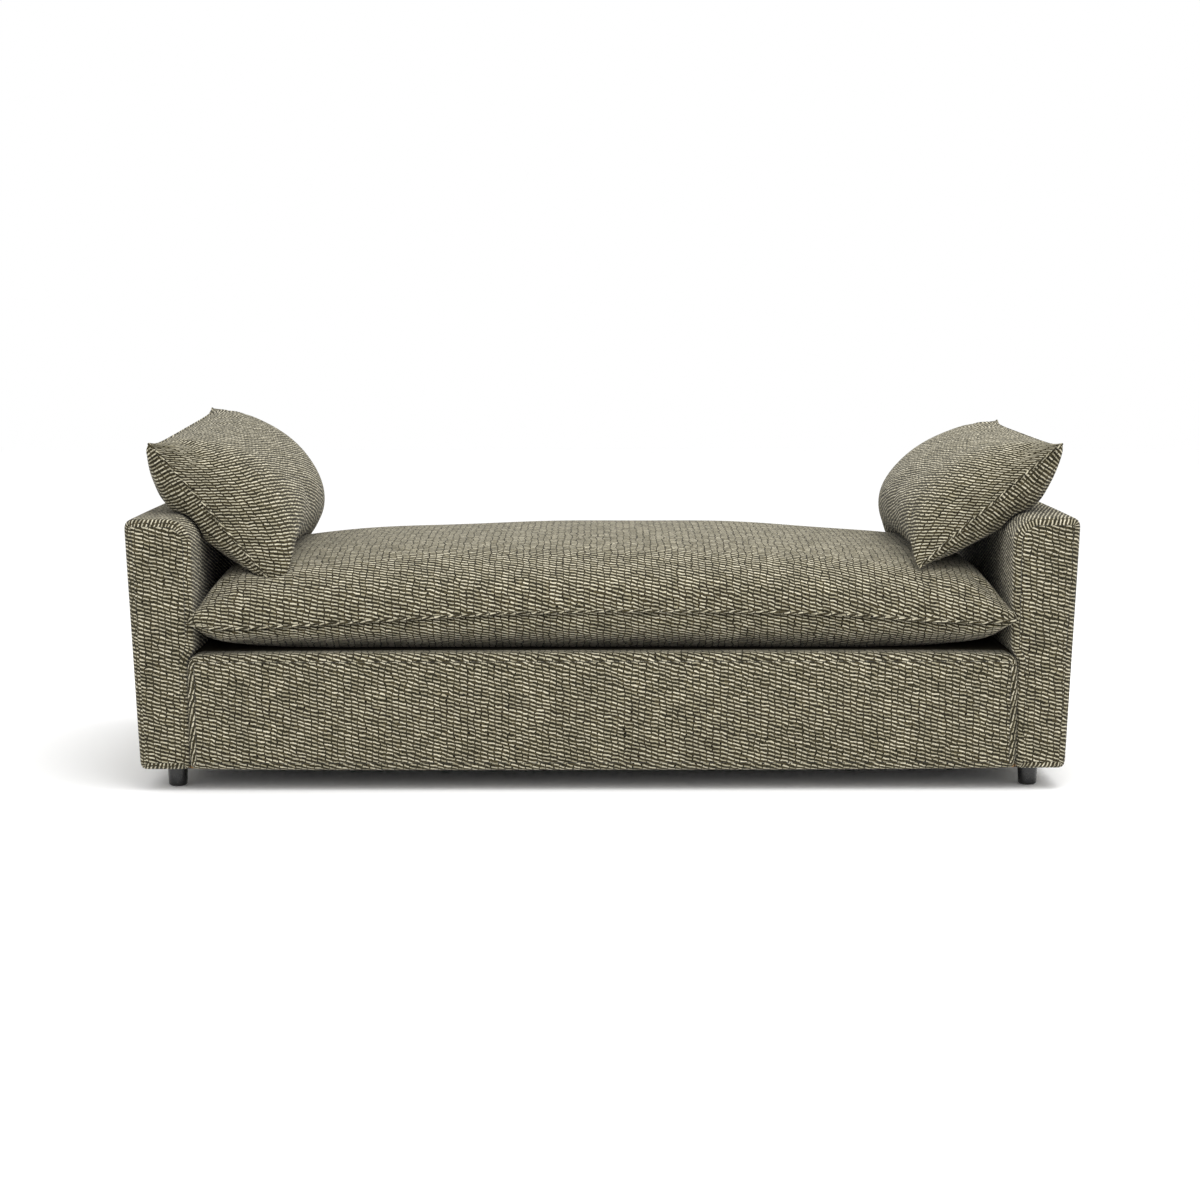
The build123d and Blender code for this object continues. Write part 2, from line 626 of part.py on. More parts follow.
def pillow_face(share, inset, front, back):
    """Cross-section of a pillow: a lens with its sewn edge at top and bottom."""
    band = (PILLOW_BAND - inset) / 2
    top, foot = pillow_edges(share)
    edge = (top - foot) / 2 - inset
    swelling = fullness(share, PILLOW_POWER)
    front_rise = (front - band - inset) * swelling + PILLOW_TIP
    back_rise = (back - band - PILLOW_TIP - inset) * swelling + PILLOW_TIP
    outline = [
        Line((edge, -band), (edge, band)),
        *swell(edge, band, front_rise, PILLOW_SHOULDER, PILLOW_DOME_POWER),
        Line((-edge, band), (-edge, -band)),
        *swell(-edge, -band, -back_rise, -PILLOW_SHOULDER, PILLOW_DOME_POWER),
    ]
    return Pos((top + foot) / 2, 0, 0) * Face(Wire(outline))


def pillow_body(inset, front, back):
    """A pillow on its own axes: length along x, height along y, front face towards +z."""
    half = PILLOW_LENGTH / 2 - PILLOW_END_INSETS * inset
    shares = both_ways(PILLOW_STATIONS)
    faces = [station(share * half) * pillow_face(share, inset, front, back) for share in shares]
    return loft(faces, ruled=True)


def pillow_plane(side, lean_degrees, back):
    """Place of a pillow that leans on the arm's inner roll and rests on the seat's crown."""
    lean = radians(lean_degrees)
    up = Vector(side * sin(lean), 0, cos(lean))
    facing = Vector(-side * cos(lean), 0, sin(lean))
    roll = Vector(side * (ARM_INNER_X + ARM_ROLL_RADIUS), 0, ARM_HEIGHT - ARM_ROLL_RADIUS)
    touch = roll + facing * (ARM_ROLL_RADIUS + PILLOW_ARM_GAP + back)
    high = -PILLOW_HEIGHT
    low = PILLOW_HEIGHT
    while low - high > SETTLED:
        slide = (low + high) / 2
        foot = touch - up * (pillow_reach() + slide)
        if foot.Z > crown_height(foot.X) + PILLOW_SEAT_GAP:
            high = slide
        else:
            low = slide
    return Plane(origin=touch - up * high, x_dir=up.cross(facing), z_dir=facing)


def pillow_reach():
    """From a pillow's middle to the underside of its slider, which rides just above the crown."""
    zip_proud = ZIP_GAP + ZIP_THICKNESS + SLIDER_CLEARANCE + 2 * SLIDER_WALL
    return pillow_zip_edge() + zip_proud


def make_pillow(name, side, lean_degrees, front, back):
    """One pillow: front and back panels sewn at the seam, fill and zip."""
    place = pillow_plane(side, lean_degrees, back)
    outside = pillow_body(0, front, back)
    inside = pillow_body(FABRIC, front, back)
    save(f"{name}_front_panel", place * (split(outside, Plane.XY, keep=Keep.TOP) - inside))
    save(f"{name}_back_panel", place * (split(outside, Plane.XY, keep=Keep.BOTTOM) - inside))
    save(f"{name}_fill", place * pillow_body(FABRIC + FILL_GAP, front, back))
    zip_y = -pillow_zip_edge() - ZIP_GAP
    seam = Plane(origin=(0, zip_y, 0), x_dir=(-1, 0, 0), z_dir=(0, 0, 1))
    save(f"{name}_zip", place * seam * zip_chain(PILLOW_ZIP_LENGTH))
    save(f"{name}_zip_slider", place * seam * zip_slider(PILLOW_ZIP_LENGTH))


def main():
    """Build every piece and write it to its own file."""
    os.makedirs("parts", exist_ok=True)
    make_arms()
    make_panels()
    make_base_frame()
    make_arm_fasteners()
    make_deck()
    make_feet()
    make_seat()
    for name, pillow in PILLOWS.items():
        make_pillow(name, *pillow)


main()
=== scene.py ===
"""Backless sofa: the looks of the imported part, laid out as an add-on and run as a script.

Two flared padded arms, a sprung base, one knife-edge bench cushion and two knife-edge pillows.
Everything is in metres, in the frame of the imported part: +X to the right, -Y to the front, +Z up.
"""
import functools
import math

import bpy
import numpy as np
from bpy.props import FloatProperty, FloatVectorProperty, PointerProperty
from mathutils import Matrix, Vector
from mathutils.bvhtree import BVHTree
from mathutils.kdtree import KDTree


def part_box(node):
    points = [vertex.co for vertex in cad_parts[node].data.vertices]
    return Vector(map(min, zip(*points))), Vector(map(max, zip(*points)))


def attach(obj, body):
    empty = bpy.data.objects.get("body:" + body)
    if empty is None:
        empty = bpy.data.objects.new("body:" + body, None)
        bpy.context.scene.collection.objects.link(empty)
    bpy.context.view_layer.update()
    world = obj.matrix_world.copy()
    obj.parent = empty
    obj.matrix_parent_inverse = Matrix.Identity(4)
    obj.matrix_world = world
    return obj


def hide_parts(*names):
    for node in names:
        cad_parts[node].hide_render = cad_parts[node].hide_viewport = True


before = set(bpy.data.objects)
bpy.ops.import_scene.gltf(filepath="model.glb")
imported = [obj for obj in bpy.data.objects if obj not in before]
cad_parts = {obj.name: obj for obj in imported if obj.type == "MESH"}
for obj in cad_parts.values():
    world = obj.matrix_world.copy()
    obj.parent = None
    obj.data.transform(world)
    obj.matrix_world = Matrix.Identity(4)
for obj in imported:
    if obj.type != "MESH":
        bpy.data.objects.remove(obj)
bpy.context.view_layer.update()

bl_info = {
    "name": "Backless sofa",
    "version": (1, 0, 0),
    "blender": (4, 5, 0),
    "location": "View3D > Sidebar > Sofa",
    "description": "Dresses the backless sofa's frame with upholstery, cushions and finishes",
    "category": "Object",
}

IMAGE_PIXELS = 1200
SENSOR_MM = 36.0
FOCAL_PIXELS = 2223.8
EYE = (-0.0044, -5.5398, 1.1173)
EYE_PITCH = math.radians(7.525)
EYE_ROLL = math.radians(0.097)
FEET = ("front_left_foot", "front_right_foot", "rear_left_foot", "rear_right_foot", "centre_foot")

# Radii of the arm's and the panel's edges, where the arm's fold starts and stops beside the deck,
# how far the arm's outer face leans out, and how far arm and panel each stand back from their joint.
HEM = 0.006
ARM_FOOT = 0.012
ARM_TOP = 0.018
ARM_ROLL = 0.057
ARM_FOLD = 0.008
ARM_FOLD_TOP = 0.012
ARM_FOLD_FOOT = 0.016
ARM_FLARE = 0.023
SOLID_ARM_ROLL = 0.055
PANEL_ROLL = 0.020
PANEL_FRONT = 0.016
PANEL_BACK = 0.002
PANEL_JOINT = 0.0006

# How far a seam's puckers and nips reach into the cloth, the shares of the full nip that the seat's top
# and the pillows take, and the cloth beside a seam that stays stiff.
PUCKER_REACH = 0.030
SEAT_NIP_REACH = 0.008
PILLOW_NIP_REACH = 0.010
SEAT_TOP_NIP = 0.25
PILLOW_NIP = 0.2
STIFF_EDGE = 0.015

# Most that stuffing rises or sinks in waves, the share that the seat's ridge falls toward its ends, and
# the distance from the seat's middle past which the pillows rest.
STUFFING_WAVE = 0.004
RIDGE_FALL = 0.36
PILLOWS_FROM = 0.5

# Frames of the cloth simulation.
SWELL_FRAMES = 20

# The dust cloth's sag between its edges and its thickness.
DUST_CLOTH_SAG = 0.003
DUST_CLOTH_THICKNESS = 0.0008

# Height of the seat's front seam along its length, against the straight seam of the solid.
SEAT_SEAM_X = (-1.0, -0.95, -0.87, -0.72, -0.5, -0.25, 0.05, 0.4, 0.6, 0.8, 0.93, 1.0)
SEAT_SEAM_LIFT = (-0.008, -0.020, -0.021, -0.014, -0.002, 0.012, 0.018, 0.015, 0.008, -0.006, -0.010, -0.002)

# Each pillow's corners against its solid, up the pillow and off its plane: front top, rear top,
# front bottom and rear bottom.
PILLOW_CORNERS = {
    "left_pillow": ((-0.030, 0.019), (-0.003, 0.060), (-0.064, 0.028), (-0.020, 0.0)),
    "right_pillow": ((0.000, 0.014), (0.000, 0.035), (-0.026, 0.026), (-0.012, 0.0)),
}


def linear(hex_colour):
    """An sRGB hex colour as linear red, green, blue and alpha."""
    shares = [int(hex_colour[i:i + 2], 16) / 255 for i in (1, 3, 5)]
    lifted = [s / 12.92 if s <= 0.04045 else ((s + 0.055) / 1.055) ** 2.4 for s in shares]
    return (*lifted, 1.0)


def colour(name, description, hex_colour):
    """A colour that a user can change."""
    return FloatVectorProperty(
        name=name, description=description, default=linear(hex_colour),
        subtype="COLOR", size=4, min=0.0, max=1.0,
    )


def length(name, description, metres):
    """A length that a user can change."""
    return FloatProperty(
        name=name, description=description, default=metres, unit="LENGTH", precision=4,
    )


def angle(name, description, degrees):
    """An angle that a user can change."""
    return FloatProperty(
        name=name, description=description, default=math.radians(degrees), subtype="ANGLE",
    )


class SofaColours(bpy.types.PropertyGroup):
    """Colours of the sofa's finishes."""

    # Near black: partly the dark yarn behind the rows, partly painted shade in the gaps between the floats.
    weave_ground: colour("Weave ground", "Shaded yarn behind the rows", "#0a0804")
    weave_olive: colour("Weave olive", "Yarn between the pale floats", "#453e29")
    weave_moss: colour("Weave moss", "Darker of the yarns between the pale floats", "#2b2717")
    weave_taupe: colour("Weave taupe", "Darker of the pale floats", "#a39c83")
    weave_cream: colour("Weave cream", "Lighter of the pale floats", "#d8d1b9")
    lacquer: colour("Foot lacquer", "Black lacquer of the feet", "#0a0a0a")
    lacquer_dust: colour("Foot dust", "Faint dust on the lacquer", "#121110")
    lining: colour("Deck lining", "Raised yarn of the cloth under the seat cushion", "#4a4536")
    # A darker copy of the lining's colour: painted shade in the sunk yarn between the ribs.
    lining_shade: colour("Deck lining shade", "Sunk yarn of the cloth under the seat cushion", "#2f2b21")
    dust_cloth: colour("Dust cloth", "Cloth under the frame", "#232323")
    dust_cloth_bond: colour("Dust cloth bonds", "Pressed spots of the cloth under the frame", "#121212")
    timber: colour("Timber", "Light bands of the frame timber", "#c9a678")
    timber_grain: colour("Timber grain", "Dark bands of the frame timber", "#9c7548")
    board: colour("Hardboard", "Pressed board of the arms", "#6b4a2e")
    board_fibre: colour("Hardboard fibre", "Dark fibres in the board", "#4a321f")
    felt: colour("Felt", "Light fibres of the pad over the springs", "#9a958c")
    felt_fleck: colour("Felt fleck", "Dark fibres of the pad over the springs", "#4f4a45")
    wire: colour("Spring wire", "Oiled spring wire", "#55534f")
    wire_scale: colour("Spring wire scale", "Dark mill scale on the wire", "#2b2a29")
    zinc: colour("Zinc", "Bright zinc of the fasteners", "#b4b6b5")
    zinc_bloom: colour("Zinc bloom", "Dull patches on the zinc", "#8a8d8e")
    glide: colour("Glide", "Moulded pad under a foot", "#3a3936")
    zip_tape: colour("Zip tape", "Tape and coil of the zips", "#4d4838")
    zip_gap: colour("Zip gap", "Shade between the turns of a zip's coil", "#1f1c14")
    slider: colour("Zip slider", "Plated slider", "#8c8a84")
    floor: colour("Floor", "Pale studio floor", "#ffffff")


class SofaSizes(bpy.types.PropertyGroup):
    """Sizes of the sofa's soft shapes and weave."""

    weave_row: length("Weave row", "Spacing of the weave's rows", 0.0091)
    weave_float: length("Weave float", "Spacing of the floats along a row", 0.0158)
    weave_gap: length("Weave gap", "Ground shown beside a float", 0.0044)
    weave_depth: length("Weave depth", "Height of the floats above the ground", 0.0016)
    weave_slope: angle("Weave slope", "Fall of the rows across the sofa", 15.6)
    arm_edge: length("Arm edge", "Radius of the arm's front and rear edges", 0.017)
    arm_puff: length("Arm puff", "Swell of the arm's padded faces", 0.003)
    panel_puff: length("Panel puff", "Swell of the base panels", 0.004)
    seat_seam: length("Seat seam", "Height of the seat's seam above the deck", 0.082)
    seat_crown: length("Seat crown", "Rise of the seat's ridge above its seam", 0.166)
    seat_draw: length("Seat draw", "How far the seat's long sides draw in", 0.013)
    seat_end_draw: length("Seat end draw", "How far the seat's ends draw in", 0.009)
    seat_ear: length("Seat ear", "How far the seat's corners stand out", 0.014)
    left_pillow_lean: angle("Left lean", "Lean of the left pillow on its arm", 39.0)
    right_pillow_lean: angle("Right lean", "Lean of the right pillow on its arm", 47.0)
    left_pillow_front: length("Left front", "Swell of the left pillow's front", 0.175)
    right_pillow_front: length("Right front", "Swell of the right pillow's front", 0.145)
    left_pillow_back: length("Left back", "Swell of the left pillow's back", 0.105)
    right_pillow_back: length("Right back", "Swell of the right pillow's back", 0.110)
    left_pillow_sag: length("Left sag", "How far the left pillow's stuffing sinks", 0.090)
    right_pillow_sag: length("Right sag", "How far the right pillow's stuffing sinks", 0.085)
    pillow_top_draw: length("Pillow top draw", "How far the pillows' top edges draw in", 0.005)
    pillow_foot_draw: length("Pillow foot draw", "How far the pillows' bottom edges draw in", 0.022)
    pillow_end_draw: length("Pillow end draw", "How far the pillows' ends draw in", 0.012)
    pillow_ear: length("Pillow ear", "How far the pillows' corners stand out", 0.008)
    seam_lip: length("Seam lip", "Radius of the sewn lip round a cushion", 0.0030)
    crease: length("Crease", "Depth of the nip beside a seam", 0.022)
    pucker: length("Pucker", "Depth of the puckers beside a seam", 0.0022)
    pucker_pitch: length("Pucker pitch", "Spacing of the puckers along a seam", 0.052)
    clearance: length("Clearance", "Room between soft neighbours", 0.003)
    swell_cap: length("Swell cap", "Most that a simulated cushion may swell", 0.005)


def sizes():
    """The sizes in use."""
    return bpy.context.scene.sofa_sizes


def colours():
    """The colours in use."""
    return bpy.context.scene.sofa_colours


# Meshes

def mesh_object(name, points, faces, cloth=None):
    """A smooth-shaded object from points and faces, linked to the scene.

    Cloth gives each corner of each face its place in metres on the flat cloth."""
    mesh = bpy.data.meshes.new(name)
    mesh.from_pydata([tuple(p) for p in points], [], [tuple(f) for f in faces])
    mesh.polygons.foreach_set("use_smooth", [True] * len(mesh.polygons))
    if cloth is not None:
        mesh.uv_layers.new(name="cloth").data.foreach_set("uv", np.asarray(cloth, float).ravel())
    piece = bpy.data.objects.new(name, mesh)
    bpy.context.scene.collection.objects.link(piece)
    return piece


def dress(piece, body, slot, *nodes):
    """Ride a piece on its body, finish it and hide the nodes that it stands for."""
    piece.data.materials.clear()
    piece.data.materials.append(material_for(slot))
    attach(piece, body)
    if nodes:
        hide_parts(*nodes)
    return piece


def subdivide(piece):
    """Smooth a piece with one round of subdivision."""
    modifier = piece.modifiers.new("Subdivision", "SUBSURF")
    modifier.levels = 1
    modifier.render_levels = 1


def sharpen(piece, rim):
    """Keep a cushion's seam sharp when it is smoothed."""
    after = dict(zip(rim.tolist(), np.roll(rim, -1).tolist()))
    crease = piece.data.attributes.new("crease_edge", "FLOAT", "EDGE")
    for edge in piece.data.edges:
        a, b = edge.vertices
        if after.get(a) == b or after.get(b) == a:
            crease.data[edge.index].value = 1.0


def positions(piece):
    """Points of a piece as an array."""
    flat = np.empty(len(piece.data.vertices) * 3)
    piece.data.vertices.foreach_get("co", flat)
    return flat.reshape(-1, 3)


def move_to(piece, points):
    """Give a piece new points."""
    piece.data.vertices.foreach_set("co", np.asarray(points, float).ravel())
    piece.data.update()


def travel(points):
    """Distance travelled along a polyline to each of its points."""
    steps = np.linalg.norm(np.diff(points, axis=0), axis=1)
    return np.concatenate([[0], np.cumsum(steps)])


def along(points, count):
    """A polyline resampled to count even steps."""
    travelled = travel(points)
    wanted = np.linspace(0, travelled[-1], count + 1)
    return np.stack([np.interp(wanted, travelled, points[:, k]) for k in range(points.shape[1])], 1)


def rounded_corner(before, corner, after, radius, steps=12):
    """Arc that rounds a corner, from its start to its end."""
    corner = np.array(corner)
    back = np.array(before) - corner
    ahead = np.array(after) - corner
    back = back / np.linalg.norm(back)
    ahead = ahead / np.linalg.norm(ahead)
    half_angle = math.acos(np.clip(back @ ahead, -1, 1)) / 2
    middle = back + ahead
    centre = corner + middle / np.linalg.norm(middle) * radius / math.sin(half_angle)
    start = corner + back * radius / math.tan(half_angle)
    end = corner + ahead * radius / math.tan(half_angle)
    shares = np.linspace(0, 1, steps + 1)[:, None]
    chord = start + (end - start) * shares - centre
    return centre + radius * chord / np.linalg.norm(chord, axis=1, keepdims=True)


def outline_sides(corners, splits, counts):
    """The four sides of a rounded outline, split at the middles of the corners named by splits.

    Corners are (x, z, radius), anticlockwise."""
    total = len(corners)
    path = []
    marks = {}
    for i, (x, z, radius) in enumerate(corners):
        arc = rounded_corner(corners[i - 1][:2], (x, z), corners[(i + 1) % total][:2], radius)
        marks[i] = len(path) + len(arc) // 2
        path.extend(arc)
    path = np.array(path)
    sides = []
    for k, split in enumerate(splits):
        start = marks[split]
        stop = marks[splits[(k + 1) % 4]]
        if stop <= start:
            stop += len(path)
        sides.append(along(path[np.arange(start, stop + 1) % len(path)], counts[k]))
    return sides


def loop_normals(loop):
    """Outward normals of an anticlockwise closed outline."""
    tangent = np.roll(loop, -1, axis=0) - np.roll(loop, 1, axis=0)
    normal = np.stack([tangent[:, 1], -tangent[:, 0]], 1)
    return normal / np.linalg.norm(normal, axis=1, keepdims=True)


def patch(loop, n, m):
    """Quad grid inside a closed outline of n, m, n and m steps."""
    bottom = loop[: n + 1]
    right = loop[n: n + m + 1]
    top = loop[n + m: 2 * n + m + 1][::-1]
    left = np.concatenate([loop[2 * n + m:], loop[:1]])[::-1]
    u = np.linspace(0, 1, n + 1)[:, None, None]
    v = np.linspace(0, 1, m + 1)[None, :, None]
    across = (1 - v) * bottom[:, None] + v * top[:, None]
    upward = (1 - u) * left[None] + u * right[None]
    corners = (1 - u) * (1 - v) * bottom[0] + u * (1 - v) * bottom[-1]
    corners = corners + (1 - u) * v * top[0] + u * v * top[-1]
    return across + upward - corners


def pillowed(share, power=4):
    """Swell across a face: 0 at its edges and 1 in its middle, for shares from 0 to 1."""
    return 1 - np.abs(2 * share - 1) ** power


def slab(sides, front, back, front_radius, back_radius, step, puff, edge_steps=7, turned=False):
    """Padded slab: an outline in the XZ plane carried along Y, with rounded and swollen ends.

    The cloth's rows lie along Y round the outline, or along the outline where they are turned."""
    n, m = len(sides[0]) - 1, len(sides[1]) - 1
    loop = np.concatenate([side[:-1] for side in sides])
    count = len(loop)
    normal = loop_normals(loop)
    turn = np.linspace(math.pi / 2, 0, edge_steps)
    rings = [(front_radius - front_radius * math.sin(a), front + front_radius - front_radius * math.cos(a))
             for a in turn[::-1]]
    inner = np.linspace(front + front_radius, back - back_radius, max(2, int((back - front) / step)))
    rings += [(0.0, y) for y in inner[1:-1]]
    rings += [(back_radius - back_radius * math.sin(a), back - back_radius + back_radius * math.cos(a))
              for a in turn]
    points, faces, cloth = [], [], []
    shares = np.concatenate([np.linspace(0, 1, len(side))[:-1] for side in sides])
    deep = travel(np.array(rings)) + front
    round_about = travel(np.append(loop, loop[:1], 0))
    for inset, y in rings:
        share_y = np.clip((y - front) / (back - front), 0, 1)
        swollen = puff * pillowed(shares) * pillowed(share_y) - inset
        ring = loop + normal * np.reshape(swollen, (-1, 1))
        points += [(x, y, z) for x, z in ring]
    for r in range(len(rings) - 1):
        for i in range(count):
            j = (i + 1) % count
            faces.append((r * count + i, r * count + j, (r + 1) * count + j, (r + 1) * count + i))
            near, far = deep[r], deep[r + 1]
            start, stop = round_about[i], round_about[i + 1]
            lie = np.array(((near, start), (near, stop), (far, stop), (far, start)))
            if turned:
                lie = lie[:, ::-1] * ((-1, 1) if normal[i, 1] > 0 else (1, -1))
            cloth.append(lie)
    for ring, y, side in ((0, front, -1), (len(rings) - 1, back, 1)):
        rim = np.array(points[ring * count:(ring + 1) * count])[:, [0, 2]]
        grid = patch(rim, n, m)
        index = np.full((n + 1, m + 1), ring * count)
        index[0] += np.arange(2 * (n + m), 2 * n + m - 1, -1)
        index[:, 0] = ring * count + np.arange(n + 1)
        index[n] = ring * count + np.arange(n, n + m + 1)
        index[:, m] = ring * count + np.arange(2 * n + m, n + m - 1, -1)
        for i in range(1, n):
            for k in range(1, m):
                index[i, k] = len(points)
                bulge = side * puff * pillowed(i / n) * pillowed(k / m)
                points.append((grid[i, k, 0], y + bulge, grid[i, k, 1]))
        for i in range(n):
            for k in range(m):
                quad = (index[i, k], index[i + 1, k], index[i + 1, k + 1], index[i, k + 1])
                lie = (grid[i, k], grid[i + 1, k], grid[i + 1, k + 1], grid[i, k + 1])
                faces.append(quad if side < 0 else quad[::-1])
                cloth.append(lie if side < 0 else lie[::-1])
    return points, faces, np.array(cloth)


def lie_of(grid):
    """Place in metres on the flat cloth of each point of a grid, measured from its middle."""
    across = np.pad(np.linalg.norm(np.diff(grid, axis=0), axis=2).cumsum(0), ((1, 0), (0, 0)))
    upward = np.pad(np.linalg.norm(np.diff(grid, axis=1), axis=2).cumsum(1), ((0, 0), (1, 0)))
    middle, halfway = grid.shape[0] // 2, grid.shape[1] // 2
    return np.stack([across - across[middle], upward - upward[:, halfway, None]], -1)


def lens(top, bottom):
    """Closed cushion from a top and a bottom grid that share their rim."""
    rows, columns = top.shape[:2]
    upper = np.arange(rows * columns).reshape(rows, columns)
    lower = upper.copy()
    inside = np.arange((rows - 2) * (columns - 2)).reshape(rows - 2, columns - 2)
    lower[1:-1, 1:-1] = rows * columns + inside
    points = np.concatenate([top.reshape(-1, 3), bottom[1:-1, 1:-1].reshape(-1, 3)])
    lie_top, lie_bottom = lie_of(top), lie_of(bottom) * (1, -1)
    faces, cloth = [], []
    for i in range(rows - 1):
        for k in range(columns - 1):
            quad = ((i, k), (i + 1, k), (i + 1, k + 1), (i, k + 1))
            faces.append([upper[spot] for spot in quad])
            cloth.append([lie_top[spot] for spot in quad])
            faces.append([lower[spot] for spot in quad[::-1]])
            cloth.append([lie_bottom[spot] for spot in quad[::-1]])
    rim = np.concatenate([upper[:-1, 0], upper[-1, :-1], upper[:0:-1, -1], upper[0, :0:-1]])
    return points, faces, np.array(cloth), rim


def spread(count, power):
    """Shares from -1 to 1 that crowd towards both ends, so that the steep cloth by a seam has rows."""
    even = np.linspace(-1, 1, count + 1)
    return np.sign(even) * (1 - (1 - np.abs(even)) ** power)


def fullness(share, power):
    """How much of a swelling is left at a share of the way from the middle to the edge."""
    return np.clip(1 - np.abs(share) ** power, 0, 1)


def dome(share, power):
    """Height of a stuffed crown, from 1 in the middle to 0 at the seam."""
    return fullness(share, power) ** (1 / power)


def unevenness(x, y, reach):
    """Gentle hollows that stuffing leaves, never more than reach."""
    waves = np.sin(7.1 * x + 2.3 * y) + np.sin(4.3 * x - 9.1 * y + 1.0) + np.sin(13.7 * x + 6.1 * y + 2.0)
    return reach * waves / 3


def puckers(run, edge):
    """Small folds that a seam gathers, fading away from it."""
    size = sizes()
    phase = 2 * math.pi * run / size.pucker_pitch
    folds = np.sin(phase + 1.7 * np.sin(phase / 5.3)) * (0.6 + 0.4 * np.sin(phase / 3.1 + 1.0))
    return size.pucker * folds * np.exp(-edge / PUCKER_REACH)


def seam_lip(name, rim_points, body, steps):
    """The sewn lip of a cushion: a thin closed tube round its seam."""
    radius, sides = sizes().seam_lip, 8
    path = along(np.append(rim_points, rim_points[:1], 0), steps)[:-1]
    tangent = np.roll(path, -1, axis=0) - np.roll(path, 1, axis=0)
    tangent /= np.linalg.norm(tangent, axis=1, keepdims=True)
    outward = path - path.mean(0)
    outward -= tangent * np.sum(outward * tangent, axis=1, keepdims=True)
    outward /= np.linalg.norm(outward, axis=1, keepdims=True)
    upward = np.cross(tangent, outward)
    points, faces, cloth = [], [], []
    for k in range(sides):
        turn = 2 * math.pi * k / sides
        points.append(path + radius * (math.cos(turn) * outward + math.sin(turn) * upward))
    points = np.stack(points, 1).reshape(-1, 3)
    run = travel(np.append(path, path[:1], 0))
    girth = 2 * math.pi * radius / sides
    for i in range(len(path)):
        j = (i + 1) % len(path)
        for k in range(sides):
            after = (k + 1) % sides
            faces.append((i * sides + k, j * sides + k, j * sides + after, i * sides + after))
            low, high = k * girth, (k + 1) * girth
            cloth.append(((run[i], low), (run[i + 1], low), (run[i + 1], high), (run[i], high)))
    dress(mesh_object(name, points, faces, cloth), body, "woven_upholstery")


def swell_cloth(piece, rim):
    """Swell a cushion as cloth under pressure with its seam held, and cap how far any point moves."""
    start = positions(piece)
    sewn = KDTree(len(rim))
    for number, index in enumerate(rim):
        sewn.insert(start[index], number)
    sewn.balance()
    stiff = [i for i, point in enumerate(start) if sewn.find(point)[2] < STIFF_EDGE]
    held = piece.vertex_groups.new(name="seam")
    held.add(stiff, 1.0, "ADD")
    cloth = piece.modifiers.new("Cloth", "CLOTH")
    settings = cloth.settings
    settings.quality = 5
    settings.mass = 0.3
    settings.tension_stiffness = 15
    settings.compression_stiffness = 15
    settings.shear_stiffness = 5
    settings.bending_stiffness = 0.5
    settings.shrink_min = -0.01
    settings.use_pressure = True
    settings.uniform_pressure_force = 4
    settings.effector_weights.gravity = 0
    settings.vertex_group_mass = held.name
    cloth.collision_settings.use_collision = False
    scene = bpy.context.scene
    for number in range(1, SWELL_FRAMES + 1):
        scene.frame_set(number)
    swollen = piece.evaluated_get(bpy.context.evaluated_depsgraph_get())
    flat = np.empty(len(start) * 3)
    swollen.data.vertices.foreach_get("co", flat)
    piece.modifiers.remove(cloth)
    piece.vertex_groups.remove(held)
    scene.frame_set(1)
    shift = flat.reshape(-1, 3) - start
    far = np.linalg.norm(shift, axis=1, keepdims=True)
    cap = sizes().swell_cap
    move_to(piece, start + shift * np.minimum(1, cap / np.maximum(far, 1e-9)))


# Materials

def wire(tree, node, **inputs):
    """Give a node its inputs, as values or as links from other sockets."""
    for name, value in inputs.items():
        numbered = name[0] == "i" and name[1:].isdigit()
        socket = node.inputs[int(name[1:]) if numbered else name.replace("_", " ")]
        if isinstance(value, bpy.types.NodeSocket):
            tree.links.new(value, socket)
        else:
            socket.default_value = value


def add(tree, kind, output=0, settings=None, **inputs):
    """One node with its settings and links, as the output that the next node takes."""
    node = tree.nodes.new(kind)
    for name, value in (settings or {}).items():
        setattr(node, name, value)
    wire(tree, node, **inputs)
    return node.outputs[output]


def new_material(name):
    """A named material, its node tree and its shader."""
    material = bpy.data.materials.new(name)
    material.use_nodes = True
    return material, material.node_tree, material.node_tree.nodes["Principled BSDF"]


